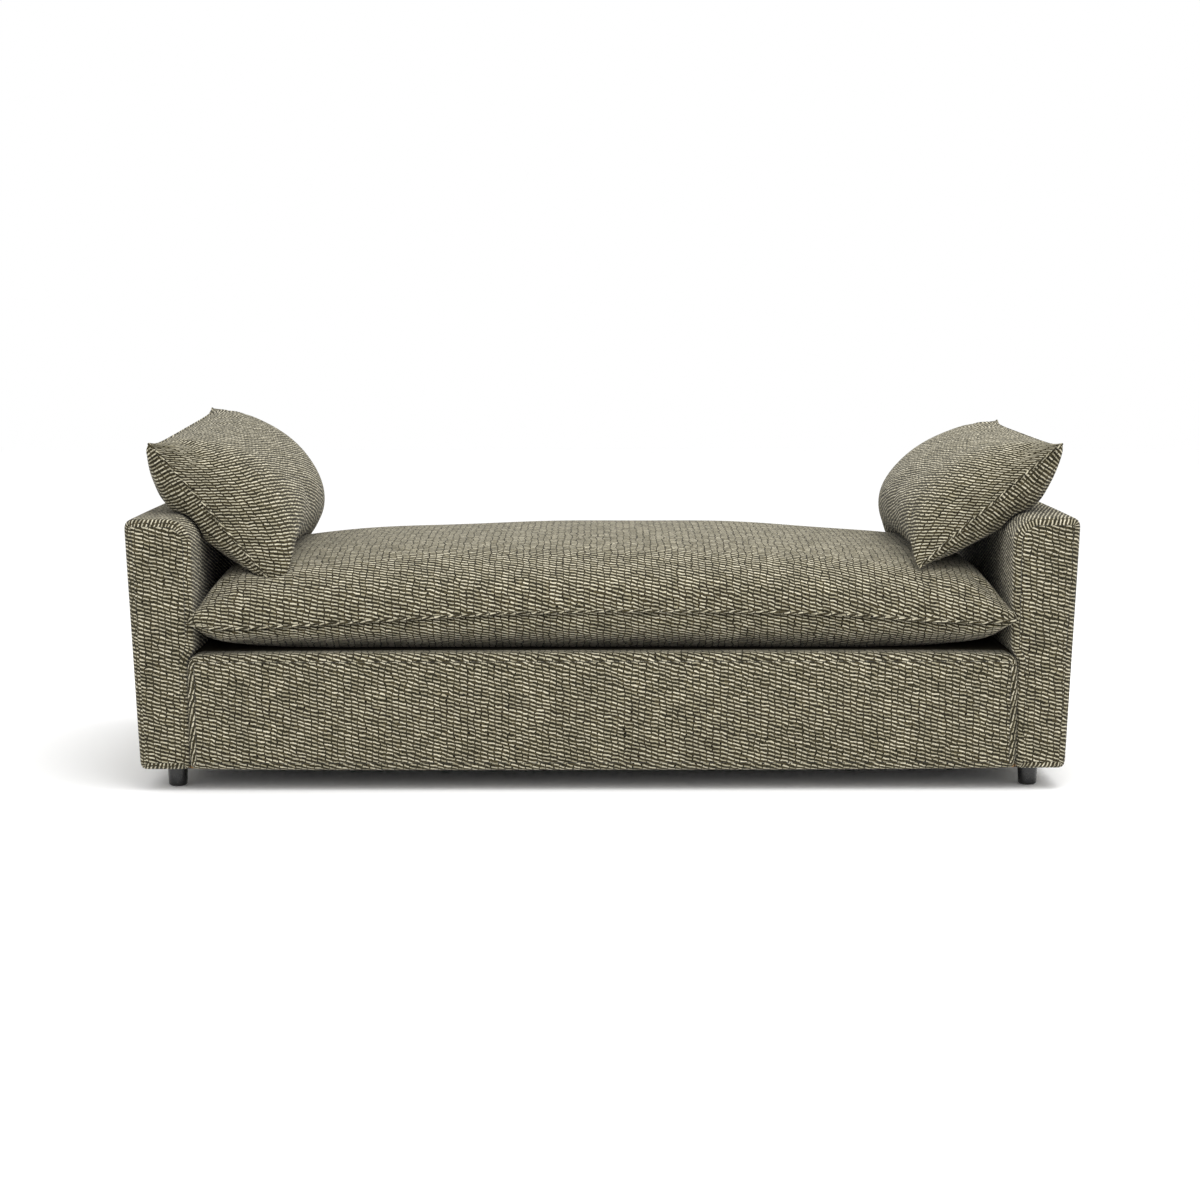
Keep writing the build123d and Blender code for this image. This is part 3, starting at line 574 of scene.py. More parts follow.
def woven_upholstery():
    """Wool tweed, flat woven."""
    # Short pale floats in staggered rows over olive yarn and a near-black ground, partly the dark yarn itself
    # and partly painted shade in the gaps between the floats: matt, coarse and warm.
    material, tree, shader = new_material("woven_wool_tweed")
    size, tint = sizes(), colours()
    # Drawn in units of 40 mm, which keep the gaps within the pattern's limit.
    drawn = 25.0
    slender = 2.5
    place = add(tree, "ShaderNodeTexCoord", "Object")
    # Rows wander over about 30 mm and fray over a few.
    wander = add(
        tree, "ShaderNodeTexNoise", "Color", Vector=place, Scale=1 / 0.030, Detail=3.0, Roughness=0.62,
    )
    cloth = add(
        tree, "ShaderNodeVectorMath", settings={"operation": "MULTIPLY_ADD"},
        i0=wander, i1=(0.024, 0.010, 0.0), i2=place.node.outputs["UV"],
    )
    # Each float starts lower than the one before it, so the rows fall across the cloth.
    spot = add(tree, "ShaderNodeSeparateXYZ", "X", Vector=cloth)
    fall = add(
        tree, "ShaderNodeMath", settings={"operation": "MULTIPLY_ADD"},
        i0=spot, i1=math.tan(size.weave_slope), i2=spot.node.outputs["Y"],
    )
    # Stretched along the rows, so floats nearly touch end to end but stand apart from the next row.
    run = add(tree, "ShaderNodeMath", settings={"operation": "MULTIPLY"}, i0=spot, i1=slender)
    laid = add(tree, "ShaderNodeCombineXYZ", X=run, Y=fall)
    between = add(
        tree, "ShaderNodeVectorMath", settings={"operation": "ADD"},
        i0=laid, i1=(slender * size.weave_float / 2, size.weave_row / 2, 0.0),
    )
    pale = add(
        tree, "ShaderNodeTexBrick", "Color", {"offset": 0.0}, Vector=laid, Scale=drawn,
        Color1=tint.weave_cream, Color2=tint.weave_taupe, Mortar=tint.weave_taupe,
        Brick_Width=slender * drawn * size.weave_float, Row_Height=drawn * size.weave_row,
        Mortar_Size=drawn * size.weave_gap, Mortar_Smooth=1.0,
    )
    # Where the olive floats also leave gaps, the near-black ground shows: painted shade in the gaps between
    # the floats, over the dark yarn.
    olive = add(
        tree, "ShaderNodeTexBrick", "Color", {"offset": 0.0}, Vector=between, Scale=drawn,
        Color1=tint.weave_olive, Color2=tint.weave_moss, Mortar=tint.weave_ground,
        Brick_Width=slender * drawn * size.weave_float, Row_Height=drawn * size.weave_row,
        Mortar_Size=drawn * size.weave_gap, Mortar_Smooth=1.0,
    )
    olive_gap = olive.node.outputs["Fac"]
    pale_gap = add(tree, "ShaderNodeMapRange", Value=pale.node.outputs["Fac"], From_Max=0.50)
    yarn = add(tree, "ShaderNodeMix", 2, {"data_type": "RGBA"}, i0=pale_gap, i6=pale, i7=olive)
    # Wool fibres of 0.02 mm are too fine to show, so they are drawn as 3 mm flecks.
    fibre = add(tree, "ShaderNodeTexNoise", Vector=place, Scale=1 / 0.003, Detail=2.0, Roughness=0.7)
    # Yarn spun thick and thin shows as patches about 35 mm long.
    slub = add(tree, "ShaderNodeTexNoise", Vector=place, Scale=1 / 0.035, Detail=2.0)
    uneven = add(tree, "ShaderNodeMath", settings={"operation": "ADD"}, i0=fibre, i1=slub)
    shade = add(
        tree, "ShaderNodeMapRange", Value=uneven, From_Min=0.6, From_Max=1.4, To_Min=0.72, To_Max=1.28,
    )
    spun = add(tree, "ShaderNodeVectorMath", settings={"operation": "SCALE"}, i0=yarn, Scale=shade)
    fuzz = add(tree, "ShaderNodeMath", settings={"operation": "MULTIPLY_ADD"}, i0=pale_gap, i1=-1.0, i2=fibre)
    relief = add(
        tree, "ShaderNodeMath", settings={"operation": "MULTIPLY_ADD"}, i0=olive_gap, i1=-0.45, i2=fuzz,
    )
    bump = add(tree, "ShaderNodeBump", Height=relief, Strength=0.7, Distance=size.weave_depth)
    wire(
        tree, shader, Base_Color=spun, Normal=bump, Roughness=0.95,
        Specular_IOR_Level=0.15, Sheen_Weight=0.1, Sheen_Roughness=0.5,
    )
    return material


def deck_lining():
    """Cotton twill, woven."""
    # A plain dull cloth: fine diagonal ribs with painted shade in the sunk yarn between them, and no shine.
    material, tree, shader = new_material("cotton_twill")
    tint = colours()
    place = add(tree, "ShaderNodeTexCoord", "Object")
    # Twill ribs of 1 mm are drawn 5 mm apart so that they show.
    rib = add(
        tree, "ShaderNodeTexWave", "Fac", {"bands_direction": "DIAGONAL"},
        Vector=place, Scale=0.314 / 0.005, Distortion=1.5, Detail=2.0,
    )
    # Painted shade: the cloth darkens where the ribs sink, following the same ribs as the bump.
    tone = add(tree, "ShaderNodeMix", 2, {"data_type": "RGBA"}, i0=rib, i6=tint.lining_shade, i7=tint.lining)
    bump = add(tree, "ShaderNodeBump", Height=rib, Strength=0.4, Distance=0.0006)
    wire(tree, shader, Base_Color=tone, Normal=bump, Roughness=0.9, Specular_IOR_Level=0.2)
    return material


def dust_cloth():
    """Polypropylene, spunbonded."""
    # A thin black cloth with rows of pressed bond spots and a faint plastic sheen.
    material, tree, shader = new_material("spunbonded_polypropylene")
    tint = colours()
    place = add(tree, "ShaderNodeTexCoord", "Object")
    # Bond spots of 1 mm are drawn 6 mm apart so that they show.
    bond = add(tree, "ShaderNodeTexVoronoi", "Distance", Vector=place, Scale=1 / 0.006, Randomness=0.3)
    spot = add(tree, "ShaderNodeMath", settings={"operation": "GREATER_THAN"}, i0=bond, i1=0.35)
    tone = add(
        tree, "ShaderNodeMix", 2, {"data_type": "RGBA"},
        i0=spot, i6=tint.dust_cloth_bond, i7=tint.dust_cloth,
    )
    bump = add(tree, "ShaderNodeBump", Height=bond, Strength=0.3, Distance=0.0005)
    wire(tree, shader, Base_Color=tone, Normal=bump, Roughness=0.7, Specular_IOR_Level=0.3)
    return material


def needle_felt():
    """Reclaimed wool and cotton felt, needled."""
    # A grey mat of tangled fibres with dark flecks.
    material, tree, shader = new_material("needled_felt")
    tint = colours()
    place = add(tree, "ShaderNodeTexCoord", "Object")
    # Tangles about 4 mm across.
    tangle = add(
        tree, "ShaderNodeTexNoise", Vector=place, Scale=1 / 0.004, Detail=4.0, Roughness=0.75, Distortion=1.5,
    )
    tone = add(tree, "ShaderNodeMix", 2, {"data_type": "RGBA"}, i0=tangle, i6=tint.felt_fleck, i7=tint.felt)
    bump = add(tree, "ShaderNodeBump", Height=tangle, Strength=0.6, Distance=0.001)
    wire(tree, shader, Base_Color=tone, Normal=bump, Roughness=1.0, Specular_IOR_Level=0.1)
    return material


def frame_timber():
    """Beech, sawn."""
    # Pale matt wood with darker bands that run along the boards.
    material, tree, shader = new_material("sawn_beech")
    tint = colours()
    place = add(tree, "ShaderNodeTexCoord", "Object")
    # Growth rings 6 mm apart round the length of the sofa.
    ring = add(
        tree, "ShaderNodeTexWave", "Fac", {"wave_type": "RINGS", "rings_direction": "X"},
        Vector=place, Scale=0.314 / 0.006, Distortion=4.0, Detail=3.0, Detail_Scale=1.5,
    )
    tone = add(tree, "ShaderNodeMix", 2, {"data_type": "RGBA"}, i0=ring, i6=tint.timber, i7=tint.timber_grain)
    bump = add(tree, "ShaderNodeBump", Height=ring, Strength=0.2, Distance=0.0005)
    wire(tree, shader, Base_Color=tone, Normal=bump, Roughness=0.75, Specular_IOR_Level=0.3)
    return material


def hardboard():
    """Wood fibre board, pressed."""
    # A flat brown board flecked with dark fibres.
    material, tree, shader = new_material("pressed_hardboard")
    tint = colours()
    place = add(tree, "ShaderNodeTexCoord", "Object")
    # Fibre bundles about 2 mm long.
    fibre = add(tree, "ShaderNodeTexNoise", Vector=place, Scale=1 / 0.002, Detail=3.0, Roughness=0.7)
    tone = add(tree, "ShaderNodeMix", 2, {"data_type": "RGBA"}, i0=fibre, i6=tint.board_fibre, i7=tint.board)
    bump = add(tree, "ShaderNodeBump", Height=fibre, Strength=0.2, Distance=0.0003)
    wire(tree, shader, Base_Color=tone, Normal=bump, Roughness=0.6, Specular_IOR_Level=0.3)
    return material


def spring_steel():
    """Spring steel wire, drawn and oiled."""
    # Dark grey wire with patches of black scale and a soft oily gleam.
    material, tree, shader = new_material("oiled_spring_steel")
    tint = colours()
    place = add(tree, "ShaderNodeTexCoord", "Object")
    # Scale in patches of about 5 mm.
    scale = add(tree, "ShaderNodeTexNoise", Vector=place, Scale=1 / 0.005, Detail=3.0)
    tone = add(tree, "ShaderNodeMix", 2, {"data_type": "RGBA"}, i0=scale, i6=tint.wire_scale, i7=tint.wire)
    rough = add(tree, "ShaderNodeMapRange", Value=scale, To_Min=0.55, To_Max=0.3)
    wire(tree, shader, Base_Color=tone, Roughness=rough, Metallic=1.0)
    return material


def zinc_steel():
    """Mild steel, zinc plated."""
    # Bright pale metal with dull patches.
    material, tree, shader = new_material("zinc_plated_steel")
    tint = colours()
    place = add(tree, "ShaderNodeTexCoord", "Object")
    # Spangle of about 3 mm.
    spangle = add(tree, "ShaderNodeTexVoronoi", "Color", Vector=place, Scale=1 / 0.003)
    tone = add(tree, "ShaderNodeMix", 2, {"data_type": "RGBA"}, i0=spangle, i6=tint.zinc_bloom, i7=tint.zinc)
    rough = add(tree, "ShaderNodeMapRange", Value=spangle, To_Min=0.45, To_Max=0.28)
    wire(tree, shader, Base_Color=tone, Roughness=rough, Metallic=1.0)
    return material


def black_foot():
    """Turned beech, lacquered black."""
    # Deep black gloss over a slightly rippled coat, with faint dust.
    material, tree, shader = new_material("black_lacquered_beech")
    tint = colours()
    place = add(tree, "ShaderNodeTexCoord", "Object")
    # Ripples in the lacquer about 6 mm across.
    ripple = add(tree, "ShaderNodeTexNoise", Vector=place, Scale=1 / 0.006, Detail=2.0)
    dust = add(tree, "ShaderNodeMapRange", Value=ripple, From_Min=0.55, From_Max=0.8)
    tone = add(
        tree, "ShaderNodeMix", 2, {"data_type": "RGBA"}, i0=dust, i6=tint.lacquer, i7=tint.lacquer_dust,
    )
    rough = add(tree, "ShaderNodeMapRange", Value=ripple, To_Min=0.18, To_Max=0.34)
    bump = add(tree, "ShaderNodeBump", Height=ripple, Strength=0.1, Distance=0.0004)
    wire(
        tree, shader, Base_Color=tone, Roughness=rough, Normal=bump, IOR=1.5,
        Coat_Weight=0.2, Coat_Roughness=0.2,
    )
    return material


def glide_pad():
    """Polyethylene, moulded."""
    # Dull dark plastic, scuffed by the floor.
    material, tree, shader = new_material("moulded_polyethylene")
    place = add(tree, "ShaderNodeTexCoord", "Object")
    # Scuffs about 2 mm across.
    scuff = add(tree, "ShaderNodeTexNoise", Vector=place, Scale=1 / 0.002, Detail=3.0)
    rough = add(tree, "ShaderNodeMapRange", Value=scuff, To_Min=0.4, To_Max=0.7)
    bump = add(tree, "ShaderNodeBump", Height=scuff, Strength=0.2, Distance=0.0003)
    wire(tree, shader, Base_Color=colours().glide, Roughness=rough, Normal=bump, IOR=1.51)
    return material


def zip_tape():
    """Polyester coil zip, woven tape."""
    # Close turns of the coil, lit on their backs and dark between.
    material, tree, shader = new_material("polyester_coil_zip")
    tint = colours()
    place = add(tree, "ShaderNodeTexCoord", "Object")
    # Coil turns of 1.3 mm are drawn 5 mm apart so that they show.
    turn = add(
        tree, "ShaderNodeTexWave", "Fac", {"bands_direction": "DIAGONAL", "wave_profile": "SIN"},
        Vector=place, Scale=0.314 / 0.005, Distortion=0.0,
    )
    tone = add(tree, "ShaderNodeMix", 2, {"data_type": "RGBA"}, i0=turn, i6=tint.zip_gap, i7=tint.zip_tape)
    bump = add(tree, "ShaderNodeBump", Height=turn, Strength=0.8, Distance=0.001)
    wire(tree, shader, Base_Color=tone, Normal=bump, Roughness=0.5)
    return material


def zip_slider():
    """Zinc alloy, cast and nickel plated."""
    # Smooth grey metal, rubbed brighter in places.
    material, tree, shader = new_material("nickel_plated_zinc")
    place = add(tree, "ShaderNodeTexCoord", "Object")
    # Rubbed patches about 3 mm across.
    rubbed = add(tree, "ShaderNodeTexNoise", Vector=place, Scale=1 / 0.003, Detail=2.0)
    rough = add(tree, "ShaderNodeMapRange", Value=rubbed, To_Min=0.4, To_Max=0.2)
    wire(tree, shader, Base_Color=colours().slider, Roughness=rough, Metallic=1.0)
    return material


FINISHES = (
    woven_upholstery, deck_lining, dust_cloth, needle_felt, frame_timber, hardboard, spring_steel,
    zinc_steel, black_foot, glide_pad, zip_tape, zip_slider,
)


@functools.cache
def material_for(slot):
    """The material of a slot, made on first use."""
    return next(finish for finish in FINISHES if finish.__name__ == slot)()


# Pieces

def arm_upholstery(side):
    """One arm: a padded slab, flared outward, with a broad inner roll on top."""
    name = "left" if side < 0 else "right"
    size = sizes()
    low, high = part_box(f"{name}_arm_cover")
    panel_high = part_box("front_panel_cover")[1]
    inner = min(abs(low.x), abs(high.x))
    outer = max(abs(low.x), abs(high.x))
    seam = panel_high.x + PANEL_JOINT
    deck = panel_high.z
    corners = [
        (seam, low.z, HEM),
        (outer - ARM_FLARE, low.z, ARM_FOOT),
        (outer, high.z, ARM_TOP),
        (inner, high.z, ARM_ROLL),
        (inner, deck + ARM_FOLD_TOP, ARM_FOLD),
        (seam, deck - ARM_FOLD_FOOT, ARM_FOLD),
    ]
    sides = outline_sides(corners, (0, 1, 2, 3), (12, 52, 12, 52))
    points, faces, cloth = slab(sides, low.y, high.y, size.arm_edge, size.arm_edge, 0.020, size.arm_puff)
    points = np.array(points)
    if side < 0:
        points[:, 0] *= -1
        faces = [face[::-1] for face in faces]
        cloth = cloth[:, ::-1] * (-1, 1)
    piece = mesh_object(f"{name}_arm_upholstery", points, faces, cloth)
    subdivide(piece)
    dress(piece, "base", "woven_upholstery", f"{name}_arm_cover", f"{name}_arm_foam")


def base_panel(name, side):
    """Front or rear panel of the base, rolled over its rail onto the deck."""
    low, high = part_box(f"{name}_panel_cover")
    left, right = low.x + PANEL_JOINT, high.x - PANEL_JOINT
    corners = [
        (left, low.z, HEM), (right, low.z, HEM), (right, high.z, PANEL_ROLL), (left, high.z, PANEL_ROLL),
    ]
    sides = outline_sides(corners, (0, 1, 2, 3), (110, 16, 110, 16))
    points, faces, cloth = slab(
        sides, 0.0, high.y - low.y, PANEL_FRONT, PANEL_BACK, 0.012, sizes().panel_puff, turned=True,
    )
    points = np.array(points)
    if side < 0:
        points[:, 1] += low.y
    else:
        points[:, 1] = high.y - points[:, 1]
        faces = [face[::-1] for face in faces]
        cloth = cloth[:, ::-1]
    piece = mesh_object(f"{name}_panel_upholstery", points, faces, cloth)
    subdivide(piece)
    dress(piece, "base", "woven_upholstery", f"{name}_panel_cover", f"{name}_panel_foam")


def deck_pad(name, slot, radius, sag, *nodes):
    """A flat pad of the sprung deck, hollowed a little by the springs."""
    boxes = [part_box(node) for node in nodes]
    low = np.min([tuple(box[0]) for box in boxes], 0)
    high = np.max([tuple(box[1]) for box in boxes], 0)
    round_x, round_z = (low[0], high[0], high[0], low[0]), (low[2], low[2], high[2], high[2])
    corners = [(x, z, radius) for x, z in zip(round_x, round_z)]
    sides = outline_sides(corners, (0, 1, 2, 3), (90, 4, 90, 4))
    points, faces, cloth = slab(sides, low[1], high[1], radius, radius, 0.025, 0.0, edge_steps=4)
    points = np.array(points)
    share_x = (points[:, 0] - low[0]) / (high[0] - low[0])
    share_y = (points[:, 1] - low[1]) / (high[1] - low[1])
    above = (points[:, 2] - low[2]) / (high[2] - low[2])
    points[:, 2] -= sag * above * pillowed(share_x, 8) * pillowed(share_y, 4)
    piece = mesh_object(name, points, faces, cloth)
    dress(piece, "base", slot, *nodes)


def dust_cloth_sheet():
    """Cloth stretched under the frame, cut round the feet."""
    low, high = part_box("dust_cover")
    across, deep = 142, 60
    x, y = np.meshgrid(
        np.linspace(low.x, high.x, across + 1), np.linspace(low.y, high.y, deep + 1), indexing="ij",
    )
    share_x = (x - low.x) / (high.x - low.x)
    share_y = (y - low.y) / (high.y - low.y)
    z = (low.z + high.z) / 2 - DUST_CLOTH_SAG * pillowed(share_x, 8) * pillowed(share_y)
    points = np.stack([x, y, z], -1).reshape(-1, 3)
    index = np.arange(len(points)).reshape(across + 1, deep + 1)
    faces = np.stack([index[:-1, :-1], index[1:, :-1], index[1:, 1:], index[:-1, 1:]], -1).reshape(-1, 4)
    for foot in FEET:
        foot_low, foot_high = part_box(foot)
        centre = np.array([(foot_low.x + foot_high.x) / 2, (foot_low.y + foot_high.y) / 2])
        hole = (foot_high.x - foot_low.x) / 2 + 2 * sizes().clearance
        offset = points[:, :2] - centre
        distance = np.linalg.norm(offset, axis=1)
        cut = (distance < hole)[faces].any(1)
        edge = np.setdiff1d(faces[cut], np.flatnonzero(distance < hole))
        points[edge, :2] = centre + offset[edge] / distance[edge, None] * hole
        faces = faces[~cut]
    used, packed = np.unique(faces, return_inverse=True)
    piece = mesh_object("dust_cloth_sheet", points[used], packed.reshape(-1, 4))
    thickness = piece.modifiers.new("Thickness", "SOLIDIFY")
    thickness.thickness = DUST_CLOTH_THICKNESS
    dress(piece, "base", "dust_cloth", "dust_cover")


def arm_clearance(points, side, room):
    """Points moved just outside the arm's inner roll, where they would press into it."""
    low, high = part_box("left_arm_cover" if side < 0 else "right_arm_cover")
    inner = min(abs(low.x), abs(high.x))
    radius = SOLID_ARM_ROLL
    centre_x, centre_z = inner + radius, high.z - radius
    reach = np.abs(points[:, 0])
    beside = reach - centre_x
    above = points[:, 2] - centre_z
    far = np.maximum(np.hypot(beside, above), 1e-6)
    out_x = np.where(beside > 0, 0.0, np.where(above < 0, -1.0, beside / far))
    out_z = np.where(beside > 0, 1.0, np.where(above < 0, 0.0, above / far))
    gap = np.where(beside > 0, above - radius, np.where(above < 0, -beside - radius, far - radius))
    push = np.maximum(room - gap, 0)
    moved = points.copy()
    moved[:, 0] += side * out_x * push
    moved[:, 2] += out_z * push
    return moved


def pillow(name, side, end_power, crown_power):
    """One pillow: two panels sewn at a knife edge, leaning outward on its arm."""
    size = sizes()
    lean = getattr(size, f"{name}_lean")
    up = np.array([side * math.sin(lean), 0, math.cos(lean)])
    facing = np.array([-side * math.cos(lean), 0, math.sin(lean)])
    run = np.array([0.0, 1.0, 0.0])
    solid = positions(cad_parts[f"{name}_front_panel"])
    heights = solid @ up
    plane = (solid @ facing).min()
    half_height = (heights.max() - heights.min()) / 2
    half_length = (solid[:, 1].max() - solid[:, 1].min()) / 2
    origin = up * (heights.max() + heights.min()) / 2 + facing * plane
    u, v = np.meshgrid(spread(84, 2.0), spread(56, 2.0), indexing="ij")
    ear = size.pillow_ear * (np.abs(u) * np.abs(v)) ** 14
    x = u * (half_length - size.pillow_end_draw * fullness(v, 6) + ear)
    upper = half_height - size.pillow_top_draw * fullness(u, 6) + ear
    lower = half_height - size.pillow_foot_draw * fullness(u, 6)
    front_top, rear_top, front_foot, rear_foot = np.array(PILLOW_CORNERS[name])
    head = (1 - u[..., None]) / 2 * front_top + (1 + u[..., None]) / 2 * rear_top
    foot = np.where(u[..., None] < 0, front_foot, rear_foot) * np.abs(u[..., None]) ** 5
    share = (v[..., None] + 1) / 2
    set_up, set_off = np.moveaxis(share * head + (1 - share) * foot, -1, 0)
    y = v * np.where(v > 0, upper, lower) + set_up
    front_swell = dome(u, end_power) * dome(v, crown_power)
    back_swell = dome(u, 2 * end_power) * dome(v, crown_power) * (0.6 + 0.4 * v)
    edge = np.minimum((1 - np.abs(u)) * half_length, (1 - np.abs(v)) * half_height)
    folds = puckers(x + y, edge) * fullness(u, 40) * fullness(v, 40)
    nip = PILLOW_NIP * size.crease * np.exp(-edge / PILLOW_NIP_REACH) * (edge > 0)

    def panel(rise, swell, sag):
        height = set_off + rise * swell + math.copysign(1, rise) * (folds + soft)
        sunk = y - sag * swell
        spot = origin + x[..., None] * run + sunk[..., None] * up + height[..., None] * facing
        spot[..., 1] -= np.sign(u) * np.abs(u) ** 4 * nip
        return spot

    soft = unevenness(2 * x, 2 * y, STUFFING_WAVE) * fullness(u, 6) * fullness(v, 4)
    sag = getattr(size, f"{name}_sag")
    front = panel(getattr(size, f"{name}_front"), front_swell, sag)
    back = panel(-getattr(size, f"{name}_back"), back_swell, 0.1 * sag)
    points, faces, cloth, rim = lens(front, back)
    if np.dot(np.cross(run, up), facing) < 0:
        faces = [face[::-1] for face in faces]
        cloth = cloth[:, ::-1]
    piece = mesh_object(name, points, faces, cloth)
    swell_cloth(piece, rim)
    settled = arm_clearance(positions(piece), side, size.arm_puff + size.clearance)
    move_to(piece, settled)
    sharpen(piece, rim)
    subdivide(piece)
    dress(
        piece, name, "woven_upholstery",
        f"{name}_front_panel", f"{name}_back_panel", f"{name}_fill",
    )
    seam_lip(f"{name}_seam_lip", settled[rim], name, 600)


def pressed_by(points, pillow_name):
    """How far a pillow that rests on the seat pushes each of the seat's points down."""
    resting = bpy.data.objects[pillow_name]
    polygons = [tuple(polygon.vertices) for polygon in resting.data.polygons]
    tree = BVHTree.FromPolygons([Vector(p) for p in positions(resting)], polygons)
    depth = np.zeros(points.shape[:2])
    floor = points[..., 2].min()
    room = sizes().clearance / 3
    for i, k in np.argwhere(np.abs(points[..., 0]) > PILLOWS_FROM):
        x, y, z = points[i, k]
        hit = tree.ray_cast(Vector((x, y, floor - 0.1)), Vector((0, 0, 1)))[0]
        if hit is not None:
            depth[i, k] = max(0.0, z - hit.z + room)
    for _ in range(2):
        ring = np.pad(depth, 1)
        around = (ring[:-2, 1:-1] + ring[2:, 1:-1] + ring[1:-1, :-2] + ring[1:-1, 2:]) / 4
        depth = np.maximum(depth, 0.5 * around)
    return depth


def seat_cushion():
    """Bench cushion: two panels sewn at a knife edge, crowned above and flat on the deck below."""
    size = sizes()
    half_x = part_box("seat_cover_top")[1].x
    half_y = max(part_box(node)[1].y for node in ("seat_cover_top", "seat_cover_bottom"))
    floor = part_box("seat_cover_bottom")[0].z
    u, v = np.meshgrid(spread(130, 2.4), spread(88, 2.6), indexing="ij")
    ear = size.seat_ear * (np.abs(u) * np.abs(v)) ** 16
    x = u * (half_x - size.seat_end_draw * fullness(v, 6) + ear)
    y = v * (half_y - size.seat_draw * fullness(u, 6) + ear)
    lift = np.interp(u, SEAT_SEAM_X, SEAT_SEAM_LIFT) * (1 - v) / 2
    seam = floor + size.seat_seam + lift
    falling = 1 - RIDGE_FALL * np.abs(u) ** 2.3
    ridge = floor + size.seat_seam + size.seat_crown * falling * fullness(u, 20) ** 0.3
    edge = np.minimum((1 - np.abs(u)) * half_x, (1 - np.abs(v)) * half_y)
    folds = puckers(x + y, edge) * fullness(u, 60) * fullness(v, 60)
    soft = unevenness(x, y, STUFFING_WAVE) * fullness(u, 8) * fullness(v, 4)
    top = np.stack([x, y, seam + (ridge - seam) * dome(v, 2.9) + soft + 0.5 * folds], -1)
    belly = np.minimum(1, 1.35 * dome(v, 2.6) * dome(u, 4.0))
    under = np.maximum(seam - (seam - floor) * belly - 0.5 * folds, floor)
    ends, fronts = np.sign(u) * np.abs(u) ** 20, np.sign(v) * np.abs(v) ** 20
    above, below = [
        size.crease * np.exp(-np.abs(height - seam) / SEAT_NIP_REACH) * (edge > 0)
        for height in (top[..., 2], under)
    ]
    top[..., 0] -= SEAT_TOP_NIP * ends * above
    top[..., 1] -= SEAT_TOP_NIP * fronts * above
    bottom = np.stack([x - ends * below, y - fronts * below, under], -1)
    points, faces, cloth, rim = lens(top, bottom)
    piece = mesh_object("seat_cushion", points, faces, cloth)
    swell_cloth(piece, rim)
    swollen = positions(piece)
    grid = swollen[:top[..., 0].size].reshape(top.shape)
    depth = np.maximum(pressed_by(grid, "left_pillow"), pressed_by(grid, "right_pillow"))
    depth[[0, -1]] = 0
    depth[:, [0, -1]] = 0
    grid[..., 2] -= depth
    swollen[:, 0] = np.clip(swollen[:, 0], -half_x - size.seat_ear, half_x + size.seat_ear)
    swollen[:, 2] = np.maximum(swollen[:, 2], floor)
    move_to(piece, swollen)
    sharpen(piece, rim)
    subdivide(piece)
    dress(
        piece, "seat_cushion", "woven_upholstery",
        "seat_cover_top", "seat_cover_bottom", "seat_foam_core", "seat_fill_upper", "seat_fill_lower",
    )
    seam_lip("seat_seam_lip", swollen[rim], "seat_cushion", 900)


def finish_solids():
    """Give every solid that still shows the finish of its own slot."""
    finishes = {finish.__name__ for finish in FINISHES}
    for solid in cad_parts.values():
        slot = solid.data.materials[0].name.split(".")[0]
        if slot in finishes and not solid.hide_render:
            solid.data.materials[0] = material_for(slot)


def stage():
    """White floor, soft light from above, and the camera."""
    half = 12.0
    floor = mesh_object(
        "floor", [(-half, -half, 0), (half, -half, 0), (half, half, 0), (-half, half, 0)], [(0, 1, 2, 3)],
    )
    material, tree, shader = new_material("painted_studio_floor")
    # Smooth matt white, so only the sofa's own shadow marks it.
    wire(tree, shader, Base_Color=colours().floor, Roughness=0.9, Specular_IOR_Level=0.1)
    floor.data.materials.append(material)
    scene = bpy.context.scene
    scene.view_settings.view_transform = "Standard"
    world = bpy.data.worlds.new("studio")
    world.use_nodes = True
    tree = world.node_tree
    wire(tree, tree.nodes["Background"], Color=(1, 1, 1, 1), Strength=1.0)
    scene.world = world
    softbox = bpy.data.lights.new("overhead_softbox", "AREA")
    softbox.shape = "RECTANGLE"
    softbox.size = 4.0
    softbox.size_y = 3.0
    softbox.energy = 110
    lamp = bpy.data.objects.new("overhead_softbox", softbox)
    lamp.location = (0.8, -0.7, 3.5)
    lamp.rotation_euler = (Vector((0, 0, 0.3)) - lamp.location).to_track_quat("-Z", "Y").to_euler()
    scene.collection.objects.link(lamp)
    camera = bpy.data.cameras.new("photo_camera")
    camera.sensor_width = SENSOR_MM
    camera.lens = SENSOR_MM * FOCAL_PIXELS / IMAGE_PIXELS
    eye = bpy.data.objects.new("photo_camera", camera)
    eye.location = EYE
    eye.rotation_euler = (math.pi / 2 - EYE_PITCH, EYE_ROLL, 0)
    scene.collection.objects.link(eye)
    scene.camera = eye


# Operators

class SOFA_OT_arms(bpy.types.Operator):
    """Upholster both arms"""

    bl_idname = "sofa.arms"
    bl_label = "Arms"

    def execute(self, context):
        for side in (-1, 1):
            arm_upholstery(side)
        return {"FINISHED"}


class SOFA_OT_base(bpy.types.Operator):
    """Upholster the base: its panels, deck, felt and dust cloth"""

    bl_idname = "sofa.base"
    bl_label = "Base"

    def execute(self, context):
        base_panel("front", -1)
        base_panel("rear", 1)
        deck_pad("deck_lining_pad", "deck_lining", 0.005, 0.003, "deck_cover", "deck_foam")
        deck_pad("spring_felt_pad", "needle_felt", 0.002, 0.0, "spring_insulator")
        dust_cloth_sheet()
        return {"FINISHED"}


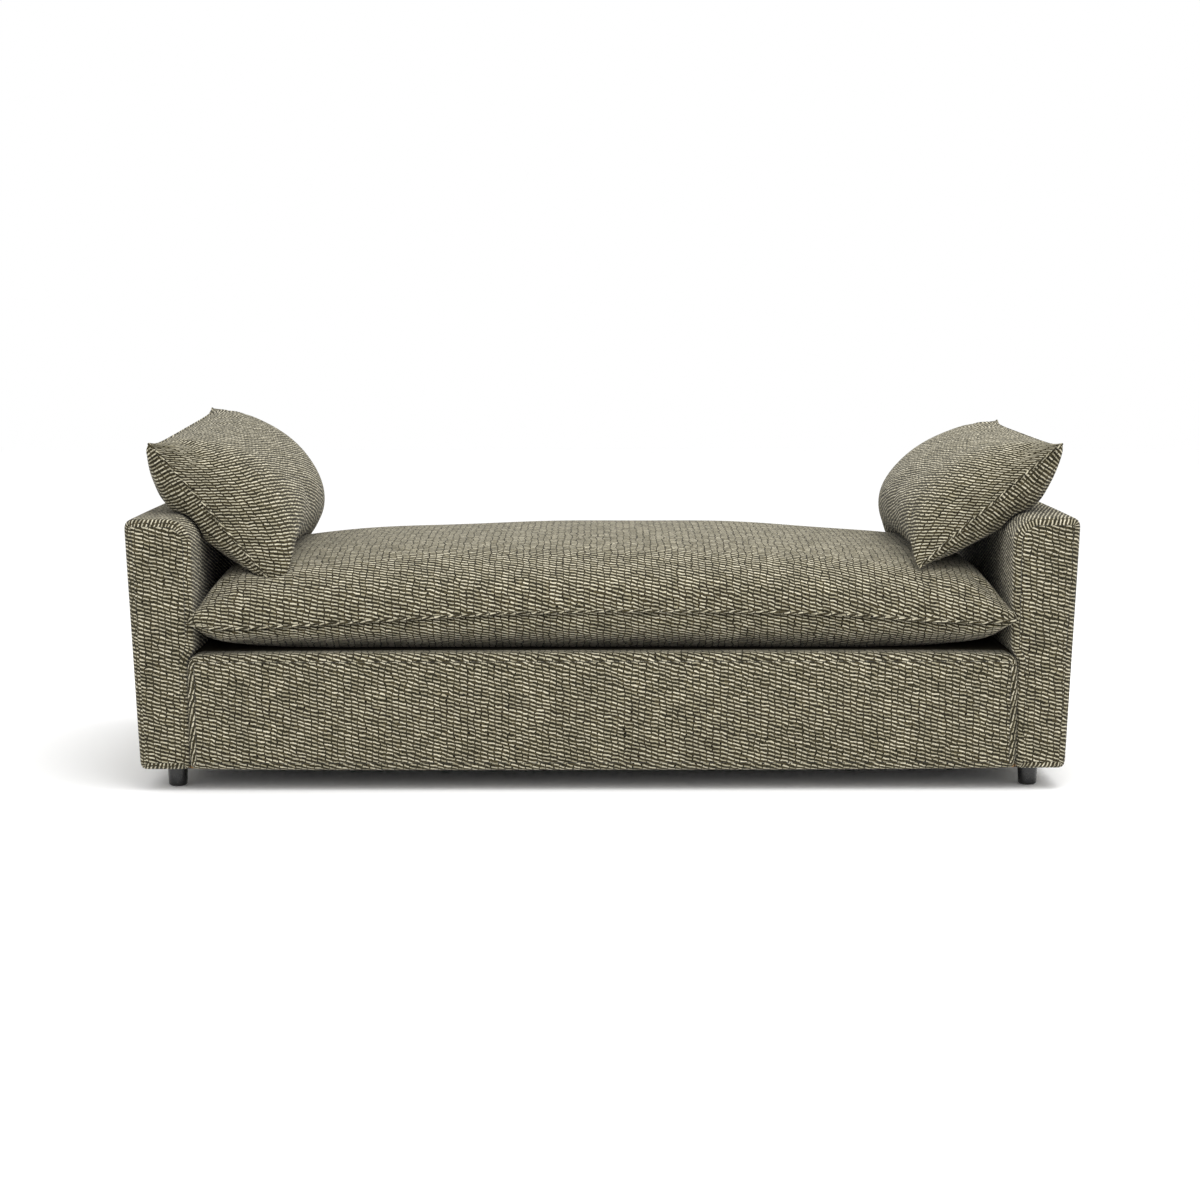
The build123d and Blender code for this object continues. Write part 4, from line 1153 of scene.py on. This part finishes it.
class SOFA_OT_pillows(bpy.types.Operator):
    """Make both pillows"""

    bl_idname = "sofa.pillows"
    bl_label = "Pillows"

    def execute(self, context):
        pillow("left_pillow", -1, end_power=3.4, crown_power=2.3)
        pillow("right_pillow", 1, end_power=3.0, crown_power=2.1)
        return {"FINISHED"}


class SOFA_OT_seat(bpy.types.Operator):
    """Make the bench cushion, pressed by the pillows that rest on it"""

    bl_idname = "sofa.seat"
    bl_label = "Seat cushion"

    def execute(self, context):
        seat_cushion()
        return {"FINISHED"}


class SOFA_OT_solids(bpy.types.Operator):
    """Finish the frame, springs, fasteners, feet and zips"""

    bl_idname = "sofa.solids"
    bl_label = "Frame and fittings"

    def execute(self, context):
        finish_solids()
        return {"FINISHED"}


class SOFA_OT_stage(bpy.types.Operator):
    """Set up the floor, light and camera"""

    bl_idname = "sofa.stage"
    bl_label = "Stage"

    def execute(self, context):
        stage()
        return {"FINISHED"}


class SOFA_PT_panel(bpy.types.Panel):
    """Lists the sofa's pieces in the sidebar"""

    bl_idname = "SOFA_PT_panel"
    bl_label = "Backless sofa"
    bl_space_type = "VIEW_3D"
    bl_region_type = "UI"
    bl_category = "Sofa"

    def draw(self, context):
        for operator in OPERATORS:
            self.layout.operator(operator.bl_idname)


OPERATORS = (
    SOFA_OT_arms, SOFA_OT_base, SOFA_OT_pillows, SOFA_OT_seat, SOFA_OT_solids, SOFA_OT_stage,
)
CLASSES = (SofaColours, SofaSizes, *OPERATORS, SOFA_PT_panel)


def register():
    """Register the classes and their settings."""
    for made in CLASSES:
        bpy.utils.register_class(made)
    bpy.types.Scene.sofa_colours = PointerProperty(type=SofaColours)
    bpy.types.Scene.sofa_sizes = PointerProperty(type=SofaSizes)


def unregister():
    """Remove the settings and the classes."""
    del bpy.types.Scene.sofa_sizes
    del bpy.types.Scene.sofa_colours
    for made in reversed(CLASSES):
        bpy.utils.unregister_class(made)


def main():
    """Dress the frame piece by piece."""
    register()
    bpy.ops.sofa.arms()
    bpy.ops.sofa.base()
    bpy.ops.sofa.pillows()
    bpy.ops.sofa.seat()
    bpy.ops.sofa.solids()
    bpy.ops.sofa.stage()


if __name__ == "__main__":
    main()
